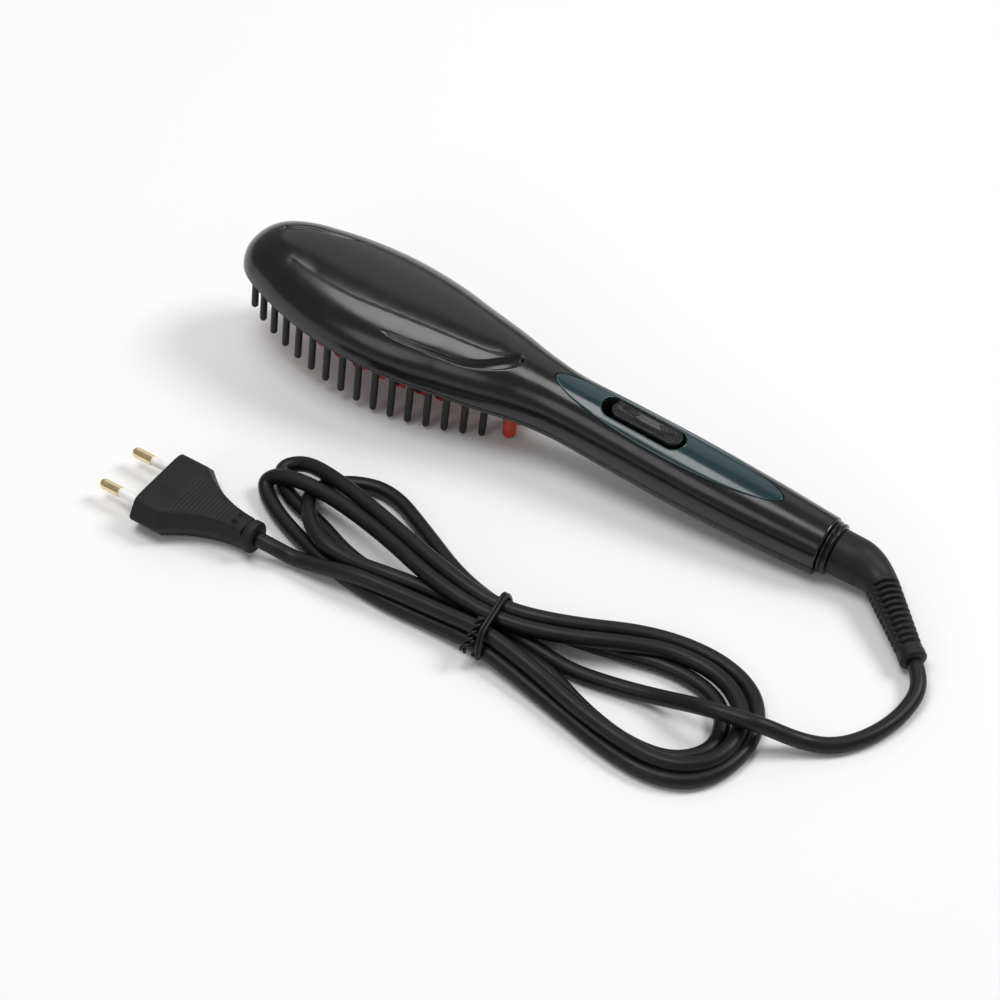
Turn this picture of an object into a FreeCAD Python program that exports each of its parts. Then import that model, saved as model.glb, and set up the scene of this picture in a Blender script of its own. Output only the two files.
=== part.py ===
import FreeCAD, Part
import math
import os

from FreeCAD import Vector

os.makedirs("parts", exist_ok=True)

# Heated straightening brush with its swivel cord tied in a hank, in millimetres.
# The brush is drawn in its own frame: x from the nose to the tail, z = 0 at the parting plane.
# It is then laid on the table: x along the brush, y away from the cord, z up.

# Head outline in plan, an egg of six arcs
NOSE_RADIUS = 17.0
HEAD_HALF_WIDTH = 26.0
HEAD_WIDEST = 58.0
HEAD_END = 127.0
HEAD_END_RADIUS = 12.0

# Side profile of the head
NOSE_RISE_LENGTH = 24.0
NOSE_HEIGHT = 16.6
RIM_DROP = 2.4
RIM_SLOPE = 0.055
CROWN = [(42.0, 17.6), (58.0, 18.2), (75.0, 18.4), (92.0, 18.2)]

# Neck and handle: x, half width, top, bottom
HANDLE = [
    (110.0, 18.0, 17.6, -6.3),
    (124.0, 14.6, 16.5, -6.4),
    (138.0, 12.7, 15.5, -6.7),
    (160.0, 12.9, 15.4, -7.6),
    (190.0, 13.2, 14.7, -8.6),
    (218.0, 12.4, 13.7, -8.7),
    (244.5, 10.9, 12.5, -8.3),
]
WALL = 2.2
TOP_FULLNESS = 0.61
BOTTOM_FULLNESS = 0.66

# Leaf-shaped dish and the two grooves beside it
DISH_START = 14.0
DISH_END = 113.0
DISH_HALF_WIDTH = 13.5
DISH_DEPTH = 0.9
DISH_SLOPE = 2.2
NEAR_GROOVE_START = 62.0
FAR_GROOVE_END = 48.0
GROOVE_OFFSET = 3.2
GROOVE_WIDTH = 1.8
GROOVE_DEPTH = 0.7

# Head stack, from the rim upwards
RIM_WIDTH = 2.6
PLATE_THICK = 1.6
HEATER_THICK = 2.5
FRAME_GAP = 0.1
FRAME_INNER = 7.5
PLATE_GAP = 0.3
HEATER_INSET = 5.5
PIN_RADIUS = 1.35
PIN_INSET = 4.4
PIN_REACH = 18.5
PIN_SLOPE = 0.1
PIN_CLEAR = 0.8
PIN_PITCH = 7.0
TOOTH_RADIUS = 2.5
TOOTH_REACH = 12.0
TOOTH_INSET = 11.0
TOOTH_PITCH = 8.4
TOOTH_FLAT = 1.5
CAP_RIB = 1.6
FIT_GAP = 0.3
NECK_TOOTH_X = 118.7
NECK_TOOTH_Y = 5.2
NECK_TOOTH_ROOT = 2.9
NECK_TOOTH_CLEAR = 1.0
NECK_TOOTH_TIP = 2.5

# Heater and the pieces round it
PTC_SIZE = (30.0, 12.0, 2.5)
PTC_STARTS = [34.0, 67.0]
CLAMP_THICK = 0.8
CLAMP_MARGIN = 1.0
MICA_THICK = 0.4
FUSE_RADIUS = 1.6
FUSE_LENGTH = 10.0
SENSOR_SIZE = (5.0, 3.0, 2.0)
HEATER_EDGE = 9.0
HEAD_BOSS_XS = [22.0, 106.0]
BOSS_RADIUS = 3.4
SCREW_RADIUS = 1.25
SCREW_HEAD_RADIUS = 2.4
SCREW_HEAD = 1.4
SCREW_GAP = 0.15
SCREW_BITE = 6.0

# Controls
LENS_START = 131.5
LENS_END = 225.0
LENS_HALF_WIDTH = 8.2
LENS_THICK = 1.3
LENS_GAP = 0.15
ROCKER_X = 169.5
ROCKER_LENGTH = 28.5
ROCKER_WIDTH = 7.2
ROCKER_PROUD = 0.4
ROCKER_BOTTOM = 7.0
ROCKER_DISH = 1.1
ROCKER_GAP = 0.55
BEZEL_GAP = 1.3
ROCKER_TILT = 3.5
ROCKER_RIBS = 5
ROCKER_RIM = 0.7
ROCKER_DISH_RADIUS = 110.0
RIB_CENTRE = 4.0
RIB_FIRST = 2.4
RIB_SPACING = 1.45
RIB_WIDTH = 0.4
RIB_RISE = 0.25
PIVOT_Z = 9.0
PIVOT_RADIUS = 1.0
PIVOT_FIT = 0.05
PIVOT_BOSS = 2.0
SWITCH_X = 11.0
BOARD_START = 138.0
BOARD_END = 216.0
BOARD_WIDTH = 17.0
BOARD_Z = 0.4
BOARD_THICK = 1.6
BOARD_POSTS = [(142.0, 0.0), (212.0, 0.0)]
POST_RADIUS = 2.6
BOARD_BITE = 5.0
SWITCH_SIZE = 6.0
SWITCH_BODY = 2.4
PLUNGER_RADIUS = 1.6
PLUNGER_GAP = 0.1
LED_XS = [192.0, 198.0, 204.0]
LED_SIZE = (2.0, 1.25, 0.8)
HOUSING_SCREW_XS = [132.0]

# Swivel at the tail
SHAFT_RADIUS = 6.2
BUSH_RADIUS = 8.6
BUSH_START = 230.5
BUSH_LENGTH = 11.0
RING_RADIUS = 10.2
RING_GAP = 0.8
RING_LENGTH = 3.2
WIRE_BORE = 3.4
RUN_FIT = 0.05
CLIP_RADIUS = 8.2
CLIP_THICK = 1.0
CLIP_GAP = 0.25
CLIP_GROOVE = 0.7
CLIP_SEAT = 0.1
SHAFT_TAIL = 1.5

# Elbow boot on the cord
BOOT_ROOT_RADIUS = 8.4
BOOT_BEND_RADIUS = 5.9
BOOT_STRAIGHT = 7.5
BOOT_BEND = 20.0
BOOT_ANGLE = 43.0
BOOT_RIBS = 11
RIB_PITCH = 2.5
RIB_DEPTH = 1.0
BOOT_END_RADIUS = 4.3
FLANGE_RADIUS = 5.0
FLANGE_LENGTH = 3.6

# How the brush lies
PITCH = 6.1

# Mains cord, laid on the table
CORD_RADIUS = 2.85
CORD_LIFT = 0.05
LEAD_RUN = 9.0
LEAD = [
    (174.3, -48.0, 0.0),
    (169.1, -62.6, 0.0),
    (159.3, -71.8, 0.0),
    (148.3, -75.3, 1.0),
    (139.3, -77.2, 9.4),
    (117.4, -81.0, 9.4),
    (104.5, -84.1, 1.2),
    (92.5, -86.7, 0.0),
]
TAIL_ROUTE = [
    (-26.3, -100.9, 0.0),
    (-34.5, -101.4, 0.4),
    (-41.5, -101.0, 2.0),
]
CORD_END_RUN = 8.0
PLUG_RUN = 6.0

# Hank of the cord: three turns drawn in at a tie, each lobe along its own axis
WAIST = (36.0, -88.5)
LEFT_AXIS = 170.0
RIGHT_AXIS = 1.0
TURNS = 3
STRAND_STEP = 7.4
WAIST_SHIFT = 2.0
LAYER = 6.6
WAIST_LIFT = 1.7
SHOULDER = 36.0
SPREAD_NEAR = 6.0
SPREAD_FAR = 9.3
LEFT_MID = 78.0
LEFT_INNER = 6.0
LEFT_OFFSET = 2.7
LEFT_REACH = 1.35
RIGHT_MID = 70.0
RIGHT_INNER = 13.6
RIGHT_OFFSET = 0.0
RIGHT_REACH = 1.12
TIE_THICK = 1.2
TIE_WIDTH = 2.6
TIE_GAP = 0.3

# Two-pin plug
PLUG_END = (-53.3, -100.2)
PLUG_TURN = 178.0
PLUG_LENGTH = 40.0
PLUG_HALF_WIDTH = 17.65
PLUG_FLAT = 13.05
PLUG_HALF_THICK = 6.85
PLUG_SHOULDER = 14.0
PLUG_NECK = 5.4
PLUG_FLANGE_RADIUS = 6.0
PLUG_FLANGE = 4.0
PLUG_PIN_RADIUS = 2.0
PLUG_PIN_LENGTH = 19.0
PLUG_PIN_SPACING = 18.6
PIN_BURIED = 12.0
SLEEVE_LENGTH = 10.0
SLEEVE_RADIUS = 1.7
SHANK_RADIUS = 1.25

# Inner wires
WIRE_RADIUS = 0.9
WIRE_SIDE = 5.5
WIRE_HEIGHT = 6.5
LEAD_SIDE = 0.6
LEAD_STRAIGHT = 4.0
LEAD_BEND = 11.0
LEAD_RISE = 0.4
LEAD_NECK = 10.0
LEAD_DROP = 2.0
LEAD_FOOT = 6.0
MAINS_SIDE = 4.0
MAINS_CLEAR = 1.4
MAINS_DROP = 1.0
MAINS_FOOT = 8.0
SENSOR_RUN = 11.0
SENSOR_BEND = 27.0
SENSOR_SHIFT = 2.0
SENSOR_NECK = 22.0
SENSOR_SIDE = 7.2


# Head outline
END_CENTRE = HEAD_END - HEAD_END_RADIUS


def side_arc(end_x, end_radius):
    """Radius and centre height of the arc that touches an end circle and the widest point."""
    run = end_x - HEAD_WIDEST
    radius = (run ** 2 + HEAD_HALF_WIDTH ** 2 - end_radius ** 2) / (2.0 * (HEAD_HALF_WIDTH - end_radius))
    return radius, HEAD_HALF_WIDTH - radius


NOSE_SIDE = side_arc(NOSE_RADIUS, NOSE_RADIUS)
NECK_SIDE = side_arc(END_CENTRE, HEAD_END_RADIUS)


def side_touch(end_x, radius, side_y):
    """Point where a side arc touches an end circle of the egg."""
    run = end_x - HEAD_WIDEST
    reach = math.hypot(run, side_y)
    return end_x + radius * run / reach, -radius * side_y / reach


def nose_touch(inset):
    return side_touch(NOSE_RADIUS, NOSE_RADIUS - inset, NOSE_SIDE[1])


def end_touch(inset):
    return side_touch(END_CENTRE, HEAD_END_RADIUS - inset, NECK_SIDE[1])


def egg_half_width(x, inset=0.0):
    """Half width of the egg at a station, drawn in by an inset."""
    if x < nose_touch(inset)[0]:
        return math.sqrt(max((NOSE_RADIUS - inset) ** 2 - (x - NOSE_RADIUS) ** 2, 0.0))
    if x > end_touch(inset)[0]:
        return math.sqrt(max((HEAD_END_RADIUS - inset) ** 2 - (x - END_CENTRE) ** 2, 0.0))
    radius, centre_y = NOSE_SIDE if x < HEAD_WIDEST else NECK_SIDE
    return centre_y + math.sqrt((radius - inset) ** 2 - (x - HEAD_WIDEST) ** 2)


def egg_wire(inset, z):
    """Closed egg outline at a height, from the nose round to it again."""
    nx, ex = nose_touch(inset)[0], end_touch(inset)[0]
    xs = [nx, 0.5 * (nx + HEAD_WIDEST), HEAD_WIDEST, 0.5 * (HEAD_WIDEST + ex), ex]
    far = [Vector(x, egg_half_width(x, inset), z) for x in xs]
    near = [Vector(p.x, -p.y, z) for p in far]
    return Part.Wire([arc.toShape() for arc in (
        Part.Arc(near[0], Vector(inset, 0, z), far[0]),
        Part.Arc(far[0], far[1], far[2]),
        Part.Arc(far[2], far[3], far[4]),
        Part.Arc(far[4], Vector(HEAD_END - inset, 0, z), near[4]),
        Part.Arc(near[4], near[3], near[2]),
        Part.Arc(near[2], near[1], near[0]),
    )])


def egg_plate(inset, low, high):
    """Flat plate with the egg outline between two heights."""
    return Part.Face(egg_wire(inset, low)).extrude(Vector(0, 0, high - low))


def egg_points(inset, pitch):
    """Points spaced evenly round the egg, starting at the nose."""
    wire = egg_wire(inset, 0)
    count = int(round(wire.Length / pitch))
    return [wire_point(wire, wire.Length * (i + 0.5) / count) for i in range(count)]


def wire_point(wire, distance):
    """Point at a distance along a wire."""
    for edge in wire.OrderedEdges:
        if distance <= edge.Length:
            return edge.valueAt(edge.getParameterByLength(distance))
        distance -= edge.Length
    return wire.OrderedEdges[-1].lastVertex().Point


# Outer surface of the casing
def quarter(start, corner, end, fullness):
    """Quarter of a rounded section as one cubic curve."""
    curve = Part.BezierCurve()
    curve.setPoles([start, start + (corner - start) * fullness, end + (corner - end) * fullness, end])
    return curve.toShape()


def section(x, half, top, bottom):
    """Closed cross-section of the casing at a station."""
    right, left = Vector(x, half, 0), Vector(x, -half, 0)
    crown, sole = Vector(x, 0, top), Vector(x, 0, bottom)
    return Part.Wire([
        quarter(right, Vector(x, half, top), crown, TOP_FULLNESS),
        quarter(crown, Vector(x, -half, top), left, TOP_FULLNESS),
        quarter(left, Vector(x, -half, bottom), sole, BOTTOM_FULLNESS),
        quarter(sole, Vector(x, half, bottom), right, BOTTOM_FULLNESS),
    ])


NOSE_ANGLES = [5.0, 14.0, 30.0, 48.0, 68.0, 90.0]
STATION_STEP = 9.0
TAIL = HANDLE[-1][0]
NECK = CROWN[-1][0]


def head_row(x, top):
    """Row of the head, whose rim gets deeper towards the neck."""
    return x, egg_half_width(x), top, -RIM_DROP - RIM_SLOPE * (x - NOSE_RISE_LENGTH)


ROWS = [head_row(NOSE_RISE_LENGTH, NOSE_HEIGHT)] + [head_row(x, top) for x, top in CROWN] + HANDLE


def slope(column, i):
    """Slope of one column of the rows at a row, taken across its neighbours."""
    low, high = max(i - 1, 0), min(i + 1, len(ROWS) - 1)
    return (ROWS[high][column] - ROWS[low][column]) / (ROWS[high][0] - ROWS[low][0])


def smooth(column, x):
    """Value of one column at a station, on a smooth curve through the rows."""
    i = max(n for n in range(len(ROWS) - 1) if ROWS[n][0] <= max(x, ROWS[0][0]))
    span = ROWS[i + 1][0] - ROWS[i][0]
    t = (x - ROWS[i][0]) / span
    a, b = ROWS[i][column], ROWS[i + 1][column]
    return (a * (1 + 2 * t) * (1 - t) ** 2 + b * t * t * (3 - 2 * t)
            + span * t * (1 - t) * (slope(column, i) * (1 - t) - slope(column, i + 1) * t))


def rim_depth(inset):
    """Depth of the head below the parting plane, never quite flat."""
    return max(RIM_DROP - inset, 0.3)


def station(x, inset=0.0):
    """Half width, top and bottom of the casing at a station, drawn in by an inset."""
    if x < NOSE_RISE_LENGTH:
        lift = math.sqrt(1.0 - (1.0 - (x - inset) / (NOSE_RISE_LENGTH - inset)) ** 2)
        return egg_half_width(x, inset), (NOSE_HEIGHT - inset) * lift, -rim_depth(inset)
    half = egg_half_width(x, inset) if x <= NECK else smooth(1, x) - inset
    return half, smooth(2, x) - inset, min(smooth(3, x) + inset, -rim_depth(inset))


def casing(inset, end=TAIL):
    """Smooth solid of the whole casing, drawn in by an inset, up to an end station."""
    wires = []
    nose = NOSE_RADIUS - inset
    for angle in NOSE_ANGLES:
        x = inset + nose * (1.0 - math.cos(math.radians(angle)))
        half, top, bottom = station(x, inset)
        wires.append(section(x, half, top, bottom * math.sin(math.radians(angle))))
    count = int(math.ceil((end - NOSE_RADIUS) / STATION_STEP))
    for i in range(1, count + 1):
        x = NOSE_RADIUS + (end - NOSE_RADIUS) * i / count
        wires.append(section(x, *station(x, inset)))
    return Part.makeLoft(wires, True, False)


# Shapes drawn in plan
def leaf_wire(start, end, half, grow, z):
    """Leaf of two arcs between two tips, widened by a margin."""
    a, b = Vector(start - grow, 0, z), Vector(end + grow, 0, z)
    mid = 0.5 * (start + end)
    near, far = Vector(mid, -half - grow, z), Vector(mid, half + grow, z)
    return Part.Wire([Part.Arc(a, far, b).toShape(), Part.Arc(b, near, a).toShape()])


def leaf(start, end, half, grow, low, high):
    """Upright leaf-shaped block."""
    return Part.Face(leaf_wire(start, end, half, grow, low)).extrude(Vector(0, 0, high - low))


def stadium(centre_x, length, width, low, high):
    """Upright block with round ends, along x."""
    r = width / 2.0
    x0, x1 = centre_x - length / 2.0 + r, centre_x + length / 2.0 - r
    wire = Part.Wire([
        Part.makeLine(Vector(x0, -r, low), Vector(x1, -r, low)),
        Part.Arc(Vector(x1, -r, low), Vector(x1 + r, 0, low), Vector(x1, r, low)).toShape(),
        Part.makeLine(Vector(x1, r, low), Vector(x0, r, low)),
        Part.Arc(Vector(x0, r, low), Vector(x0 - r, 0, low), Vector(x0, -r, low)).toShape(),
    ])
    return Part.Face(wire).extrude(Vector(0, 0, high - low))


def rod(x, y, low, high, radius):
    """Upright round rod."""
    return Part.makeCylinder(radius, high - low, Vector(x, y, low))


def axle(start, end, radius):
    """Rod along the swivel axis."""
    return Part.makeCylinder(radius, end - start, Vector(start, 0, SWIVEL_Z), Vector(1, 0, 0))


def block(x0, x1, y0, y1, z0, z1):
    """Box between corners."""
    return Part.makeBox(x1 - x0, y1 - y0, z1 - z0, Vector(x0, y0, z0))


# Levels of the head stack and the swivel
RIM_TOP = -rim_depth(WALL)
PLATE_TOP = RIM_TOP + PLATE_THICK
HEATER_TOP = PLATE_TOP + HEATER_THICK
PTC_TOP = HEATER_TOP + PTC_SIZE[2]
CLAMP_TOP = PTC_TOP + CLAMP_THICK
HEATER_SIDE = HEAD_HALF_WIDTH - HEATER_INSET - HEATER_EDGE
BOARD_TOP = BOARD_Z + BOARD_THICK
SWIVEL_Z = 0.5 * (HANDLE[-1][2] + HANDLE[-1][3])
BUSH_END = BUSH_START + BUSH_LENGTH
FAR = 400.0
WIDE = 60.0

pieces = {}


# Casing
def lens_block(grow):
    """Oval band of the casing's skin that the lens fills."""
    centre = Vector(0.5 * (LENS_START + LENS_END), 0, 0)
    reach = 0.5 * (LENS_END - LENS_START) + grow
    oval = Part.Wire(Part.Ellipse(centre, reach, LENS_HALF_WIDTH + grow).toShape())
    return Part.Face(oval).extrude(Vector(0, 0, WIDE)).cut(casing(LENS_THICK))


def dish_tool():
    """Shallow leaf-shaped recess with sloping walls, of even depth below the surface."""
    low = leaf_wire(DISH_START, DISH_END, DISH_HALF_WIDTH, 0, 0)
    high = leaf_wire(DISH_START, DISH_END, DISH_HALF_WIDTH, DISH_SLOPE, WIDE / 2)
    return Part.makeLoft([low, high], True, True).cut(casing(DISH_DEPTH))


def groove_tool():
    """Shallow grooves beside the dish: a long one to the neck, and a short one on the far side."""
    outer = leaf(DISH_START, DISH_END, DISH_HALF_WIDTH, GROOVE_OFFSET + GROOVE_WIDTH, 0, WIDE)
    inner = leaf(DISH_START, DISH_END, DISH_HALF_WIDTH, GROOVE_OFFSET, 0, WIDE)
    ring = outer.cut(inner).cut(casing(GROOVE_DEPTH))
    near = ring.common(block(NEAR_GROOVE_START, FAR, -WIDE, 0, 0, WIDE))
    far = ring.common(block(-WIDE, FAR_GROOVE_END, 0, WIDE, 0, WIDE))
    return near.fuse(far)


def rocker_slot(gap):
    """Opening round the rocker, wider by a gap on each side."""
    return stadium(ROCKER_X, ROCKER_LENGTH + 2 * gap, ROCKER_WIDTH + 2 * gap, PIVOT_Z, WIDE)


def pivot_bosses():
    """Two lugs under the handle's top that hold the rocker's pin."""
    start = ROCKER_WIDTH / 2 + ROCKER_GAP + FIT_GAP
    lug = block(ROCKER_X - PIVOT_BOSS, ROCKER_X + PIVOT_BOSS, start, start + PIVOT_BOSS,
                PIVOT_Z - 2 * PIVOT_RADIUS, WIDE)
    lugs = lug.fuse(lug.mirror(Vector(0, 0, 0), Vector(0, 1, 0)))
    return lugs.common(casing(WALL / 2))


def pivot_rod(radius):
    """Rod across the handle at the rocker's pivot."""
    half = ROCKER_WIDTH / 2 + ROCKER_GAP + FIT_GAP + PIVOT_BOSS
    return Part.makeCylinder(radius, 2 * half, Vector(ROCKER_X, -half, PIVOT_Z), Vector(0, 1, 0))


def swivel_bore():
    """Stepped bore at the tail for the bush and the shaft."""
    seat = axle(BUSH_START - 1.0, BUSH_END, BUSH_RADIUS + RUN_FIT)
    return seat.fuse(axle(BUSH_END - 1.0, TAIL + 1.0, SHAFT_RADIUS + FIT_GAP))


def upper_bosses():
    """Screw bosses that hang from the upper shell."""
    bosses = [rod(x, 0, HEATER_TOP, station(x)[1] - WALL / 2, BOSS_RADIUS) for x in HEAD_BOSS_XS]
    bosses += [rod(x, 0, 0, station(x)[1] - WALL / 2, BOSS_RADIUS) for x in HOUSING_SCREW_XS]
    return bosses


def screw_seat(x):
    """Height of a housing screw's head seat in the lower shell."""
    return station(x)[2] + WALL


SCREW_HOLE = SCREW_RADIUS + SCREW_GAP


def make_casing():
    shell = casing(0).cut(casing(WALL, BUSH_START)).cut(swivel_bore())
    upper = shell.common(block(-WIDE, FAR, -WIDE, WIDE, 0, WIDE))
    upper = upper.fuse(pivot_bosses()).fuse(upper_bosses())
    upper = upper.cut([dish_tool(), groove_tool(), lens_block(LENS_GAP), rocker_slot(ROCKER_GAP),
                       pivot_rod(PIVOT_RADIUS + RUN_FIT)])
    holes = [rod(x, 0, HEATER_TOP, HEATER_TOP + SCREW_BITE + SCREW_GAP, SCREW_HOLE) for x in HEAD_BOSS_XS]
    holes += [rod(x, 0, 0, SCREW_BITE + SCREW_GAP, SCREW_HOLE) for x in HOUSING_SCREW_XS]
    pieces["upper_shell"] = upper.cut(holes)

    lower = shell.common(block(-WIDE, FAR, -WIDE, WIDE, -WIDE, 0))
    bosses = [rod(x, 0, station(x)[2] + WALL / 2, 0, BOSS_RADIUS) for x in HOUSING_SCREW_XS]
    bosses += [rod(x, y, station(x)[2] + WALL / 2, BOARD_Z, POST_RADIUS) for x, y in BOARD_POSTS]
    lower = lower.fuse(bosses).cut(egg_plate(RIM_WIDTH, -WIDE, 1.0))
    holes = [rod(x, 0, screw_seat(x), 1.0, SCREW_HOLE) for x in HOUSING_SCREW_XS]
    holes += [rod(x, 0, -WIDE, screw_seat(x), SCREW_HEAD_RADIUS + SCREW_GAP) for x in HOUSING_SCREW_XS]
    holes += [rod(x, y, BOARD_Z - BOARD_BITE - SCREW_GAP, WIDE, SCREW_HOLE) for x, y in BOARD_POSTS]
    pieces["lower_shell"] = lower.cut(holes)
    pieces["control_lens"] = lens_block(0).common(casing(0)).cut(rocker_slot(BEZEL_GAP))


# Screws
def screw(x, y, seat, bite, direction):
    """Round-headed screw whose shank goes up (1) or down (-1) from its head's seat."""
    head = rod(x, y, min(seat, seat - direction * SCREW_HEAD), max(seat, seat - direction * SCREW_HEAD),
               SCREW_HEAD_RADIUS)
    shank = rod(x, y, min(seat, seat + direction * bite), max(seat, seat + direction * bite), SCREW_RADIUS)
    return head.fuse(shank)


def make_screws():
    pieces["head_screws"] = Part.Compound([
        screw(x, 0, RIM_TOP, HEATER_TOP - RIM_TOP + SCREW_BITE, 1) for x in HEAD_BOSS_XS])
    pieces["housing_screws"] = Part.Compound([
        screw(x, 0, screw_seat(x), SCREW_BITE - screw_seat(x), 1) for x in HOUSING_SCREW_XS])
    pieces["board_screws"] = Part.Compound([
        screw(x, y, BOARD_TOP, BOARD_THICK + BOARD_BITE, -1) for x, y in BOARD_POSTS])


# Head
def tooth_places():
    """Places of the heated teeth: a ring inside the pins and a row down the middle."""
    ring = [(p.x, p.y) for p in egg_points(TOOTH_INSET, TOOTH_PITCH)]
    gap = TOOTH_PITCH * 0.9
    first, last = HEAD_BOSS_XS[0] + gap, HEAD_BOSS_XS[1] - gap
    count = int((last - first) / TOOTH_PITCH)
    row = [(first + (last - first) * i / count, 0.0) for i in range(count + 1)]
    ring = [(x, y) for x, y in ring if all(math.hypot(x - bx, y) > gap for bx in HEAD_BOSS_XS)]
    return [(x, y) for x, y in ring + row if clear_of_neck(x, y, TOOTH_RADIUS)]


def clear_of_neck(x, y, radius):
    """Whether a round tooth or pin stands clear of the two teeth at the neck."""
    away = math.hypot(x - NECK_TOOTH_X, abs(y) - NECK_TOOTH_Y)
    return away > NECK_TOOTH_ROOT + radius + NECK_TOOTH_CLEAR


def pin_places():
    """Places of the cool outer pins, without those that the teeth at the neck displace."""
    return [(p.x, p.y) for p in egg_points(PIN_INSET, PIN_PITCH) if clear_of_neck(p.x, p.y, PIN_RADIUS)]


def round_tip(x, y, radius, tip, start):
    """Upright pin from a start height down to a domed tip."""
    return rod(x, y, tip + radius, start, radius).fuse(Part.makeSphere(radius, Vector(x, y, tip + radius)))


def heated_tooth(x, y):
    """Heated tooth with a flat on its handle side."""
    tooth = rod(x, y, -TOOTH_REACH, PLATE_TOP, TOOTH_RADIUS)
    side = block(x + TOOTH_FLAT, x + 2 * TOOTH_RADIUS, y - WIDE, y + WIDE, -WIDE, WIDE)
    return tooth.cut(side)


def tooth_cap(x, y):
    """Guard of one tooth: a rib down its handle side and a dome over its tip."""
    base = -TOOTH_REACH - FIT_GAP
    start = x + TOOTH_FLAT + FIT_GAP
    rib = block(start, start + CAP_RIB, y - 0.6 * TOOTH_RADIUS, y + 0.6 * TOOTH_RADIUS,
                base - 0.5 * TOOTH_RADIUS, RIM_TOP)
    dome = Part.makeSphere(TOOTH_RADIUS, Vector(x, y, base))
    dome = dome.common(block(x - WIDE, x + WIDE, y - WIDE, y + WIDE, -WIDE, base))
    return rib.fuse(dome)


def neck_tooth(side):
    """Tapered guard tooth at the neck, long enough to stand on."""
    y = side * NECK_TOOTH_Y
    tip = floor_height(NECK_TOOTH_X)
    cone = Part.makeCone(NECK_TOOTH_TIP, NECK_TOOTH_ROOT, RIM_TOP - tip - NECK_TOOTH_TIP,
                         Vector(NECK_TOOTH_X, y, tip + NECK_TOOTH_TIP))
    return cone.fuse(Part.makeSphere(NECK_TOOTH_TIP, Vector(NECK_TOOTH_X, y, tip + NECK_TOOTH_TIP)))


def floor_height(x):
    """Height of the table under a station, in the brush's frame."""
    rest = station(TAIL)[2]
    return rest - (TAIL - x) * math.tan(math.radians(PITCH))


def pin_tip(x):
    """Height of a cool pin's tip: longer towards the neck, until the table limits it."""
    return max(-PIN_REACH - PIN_SLOPE * x, floor_height(x) + PIN_CLEAR)


def make_head():
    teeth = tooth_places()
    pins = pin_places()
    print("outer pins", len(pins), "heated teeth", len(teeth))
    frame = egg_plate(RIM_WIDTH + FRAME_GAP, RIM_TOP, PLATE_TOP).cut(egg_plate(FRAME_INNER, -WIDE, WIDE))
    pieces["pin_frame"] = frame
    pieces["outer_pins"] = Part.Compound([
        round_tip(x, y, PIN_RADIUS, pin_tip(x), RIM_TOP) for x, y in pins])
    guard = egg_plate(FRAME_INNER + PLATE_GAP, RIM_TOP, PLATE_TOP)
    holes = [rod(x, y, -WIDE, WIDE, TOOTH_RADIUS + FIT_GAP) for x, y in teeth]
    holes += [rod(x, 0, -WIDE, WIDE, SCREW_HOLE) for x in HEAD_BOSS_XS]
    pieces["guard_plate"] = guard.cut(holes)
    pieces["heating_teeth"] = Part.Compound([heated_tooth(x, y) for x, y in teeth])
    pieces["tooth_caps"] = Part.Compound([tooth_cap(x, y) for x, y in teeth])
    pieces["neck_teeth"] = Part.Compound([neck_tooth(side) for side in (-1, 1)])
    plate = egg_plate(HEATER_INSET, PLATE_TOP, HEATER_TOP)
    pieces["heater_plate"] = plate.cut([rod(x, 0, -WIDE, WIDE, SCREW_HOLE) for x in HEAD_BOSS_XS])


def make_heater():
    length, width, height = PTC_SIZE
    half = width / 2
    pieces["ptc_heaters"] = Part.Compound([
        block(x, x + length, -half, half, HEATER_TOP, PTC_TOP) for x in PTC_STARTS])
    start, end = PTC_STARTS[0] - CLAMP_MARGIN, PTC_STARTS[-1] + length + CLAMP_MARGIN
    reach = half + CLAMP_MARGIN
    pieces["heater_clamp"] = block(start, end, -reach, reach, PTC_TOP, CLAMP_TOP)
    pieces["insulation_sheet"] = block(start, end, -reach, reach, CLAMP_TOP, CLAMP_TOP + MICA_THICK)
    fuse_z = HEATER_TOP + FUSE_RADIUS + RUN_FIT
    pieces["thermal_fuse"] = Part.makeCylinder(FUSE_RADIUS, FUSE_LENGTH,
                                               Vector(HEAD_WIDEST, HEATER_SIDE, fuse_z), Vector(1, 0, 0))
    sx, sy, sz = SENSOR_SIZE
    pieces["temperature_sensor"] = block(HEAD_WIDEST, HEAD_WIDEST + sx, -HEATER_SIDE - sy, -HEATER_SIDE,
                                         HEATER_TOP, HEATER_TOP + sz)


# Controls
def rocker_dish(radius, top):
    """Long cylinder across the rocker whose underside is the dish in its top."""
    lift = top - ROCKER_DISH + ROCKER_DISH_RADIUS
    return Part.makeCylinder(radius, 2 * WIDE, Vector(ROCKER_X, -WIDE, lift), Vector(0, 1, 0))


def rocker_ribs(top):
    """Raised arcs in both halves of the dish, each group curved round a point near the middle."""
    skin = rocker_dish(ROCKER_DISH_RADIUS, top).cut(rocker_dish(ROCKER_DISH_RADIUS - RIB_RISE, top))
    ribs = []
    for side in (-1, 1):
        centre = ROCKER_X + side * RIB_CENTRE
        end = ROCKER_X + side * ROCKER_LENGTH
        outward = block(min(centre, end), max(centre, end), -WIDE, WIDE, 0, WIDE)
        for i in range(ROCKER_RIBS):
            outer = RIB_FIRST + i * RIB_SPACING
            ring = rod(centre, 0, 0, WIDE, outer).cut(rod(centre, 0, 0, WIDE, outer - RIB_WIDTH))
            ribs.append(ring.common(outward).common(skin))
    return ribs


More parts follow.
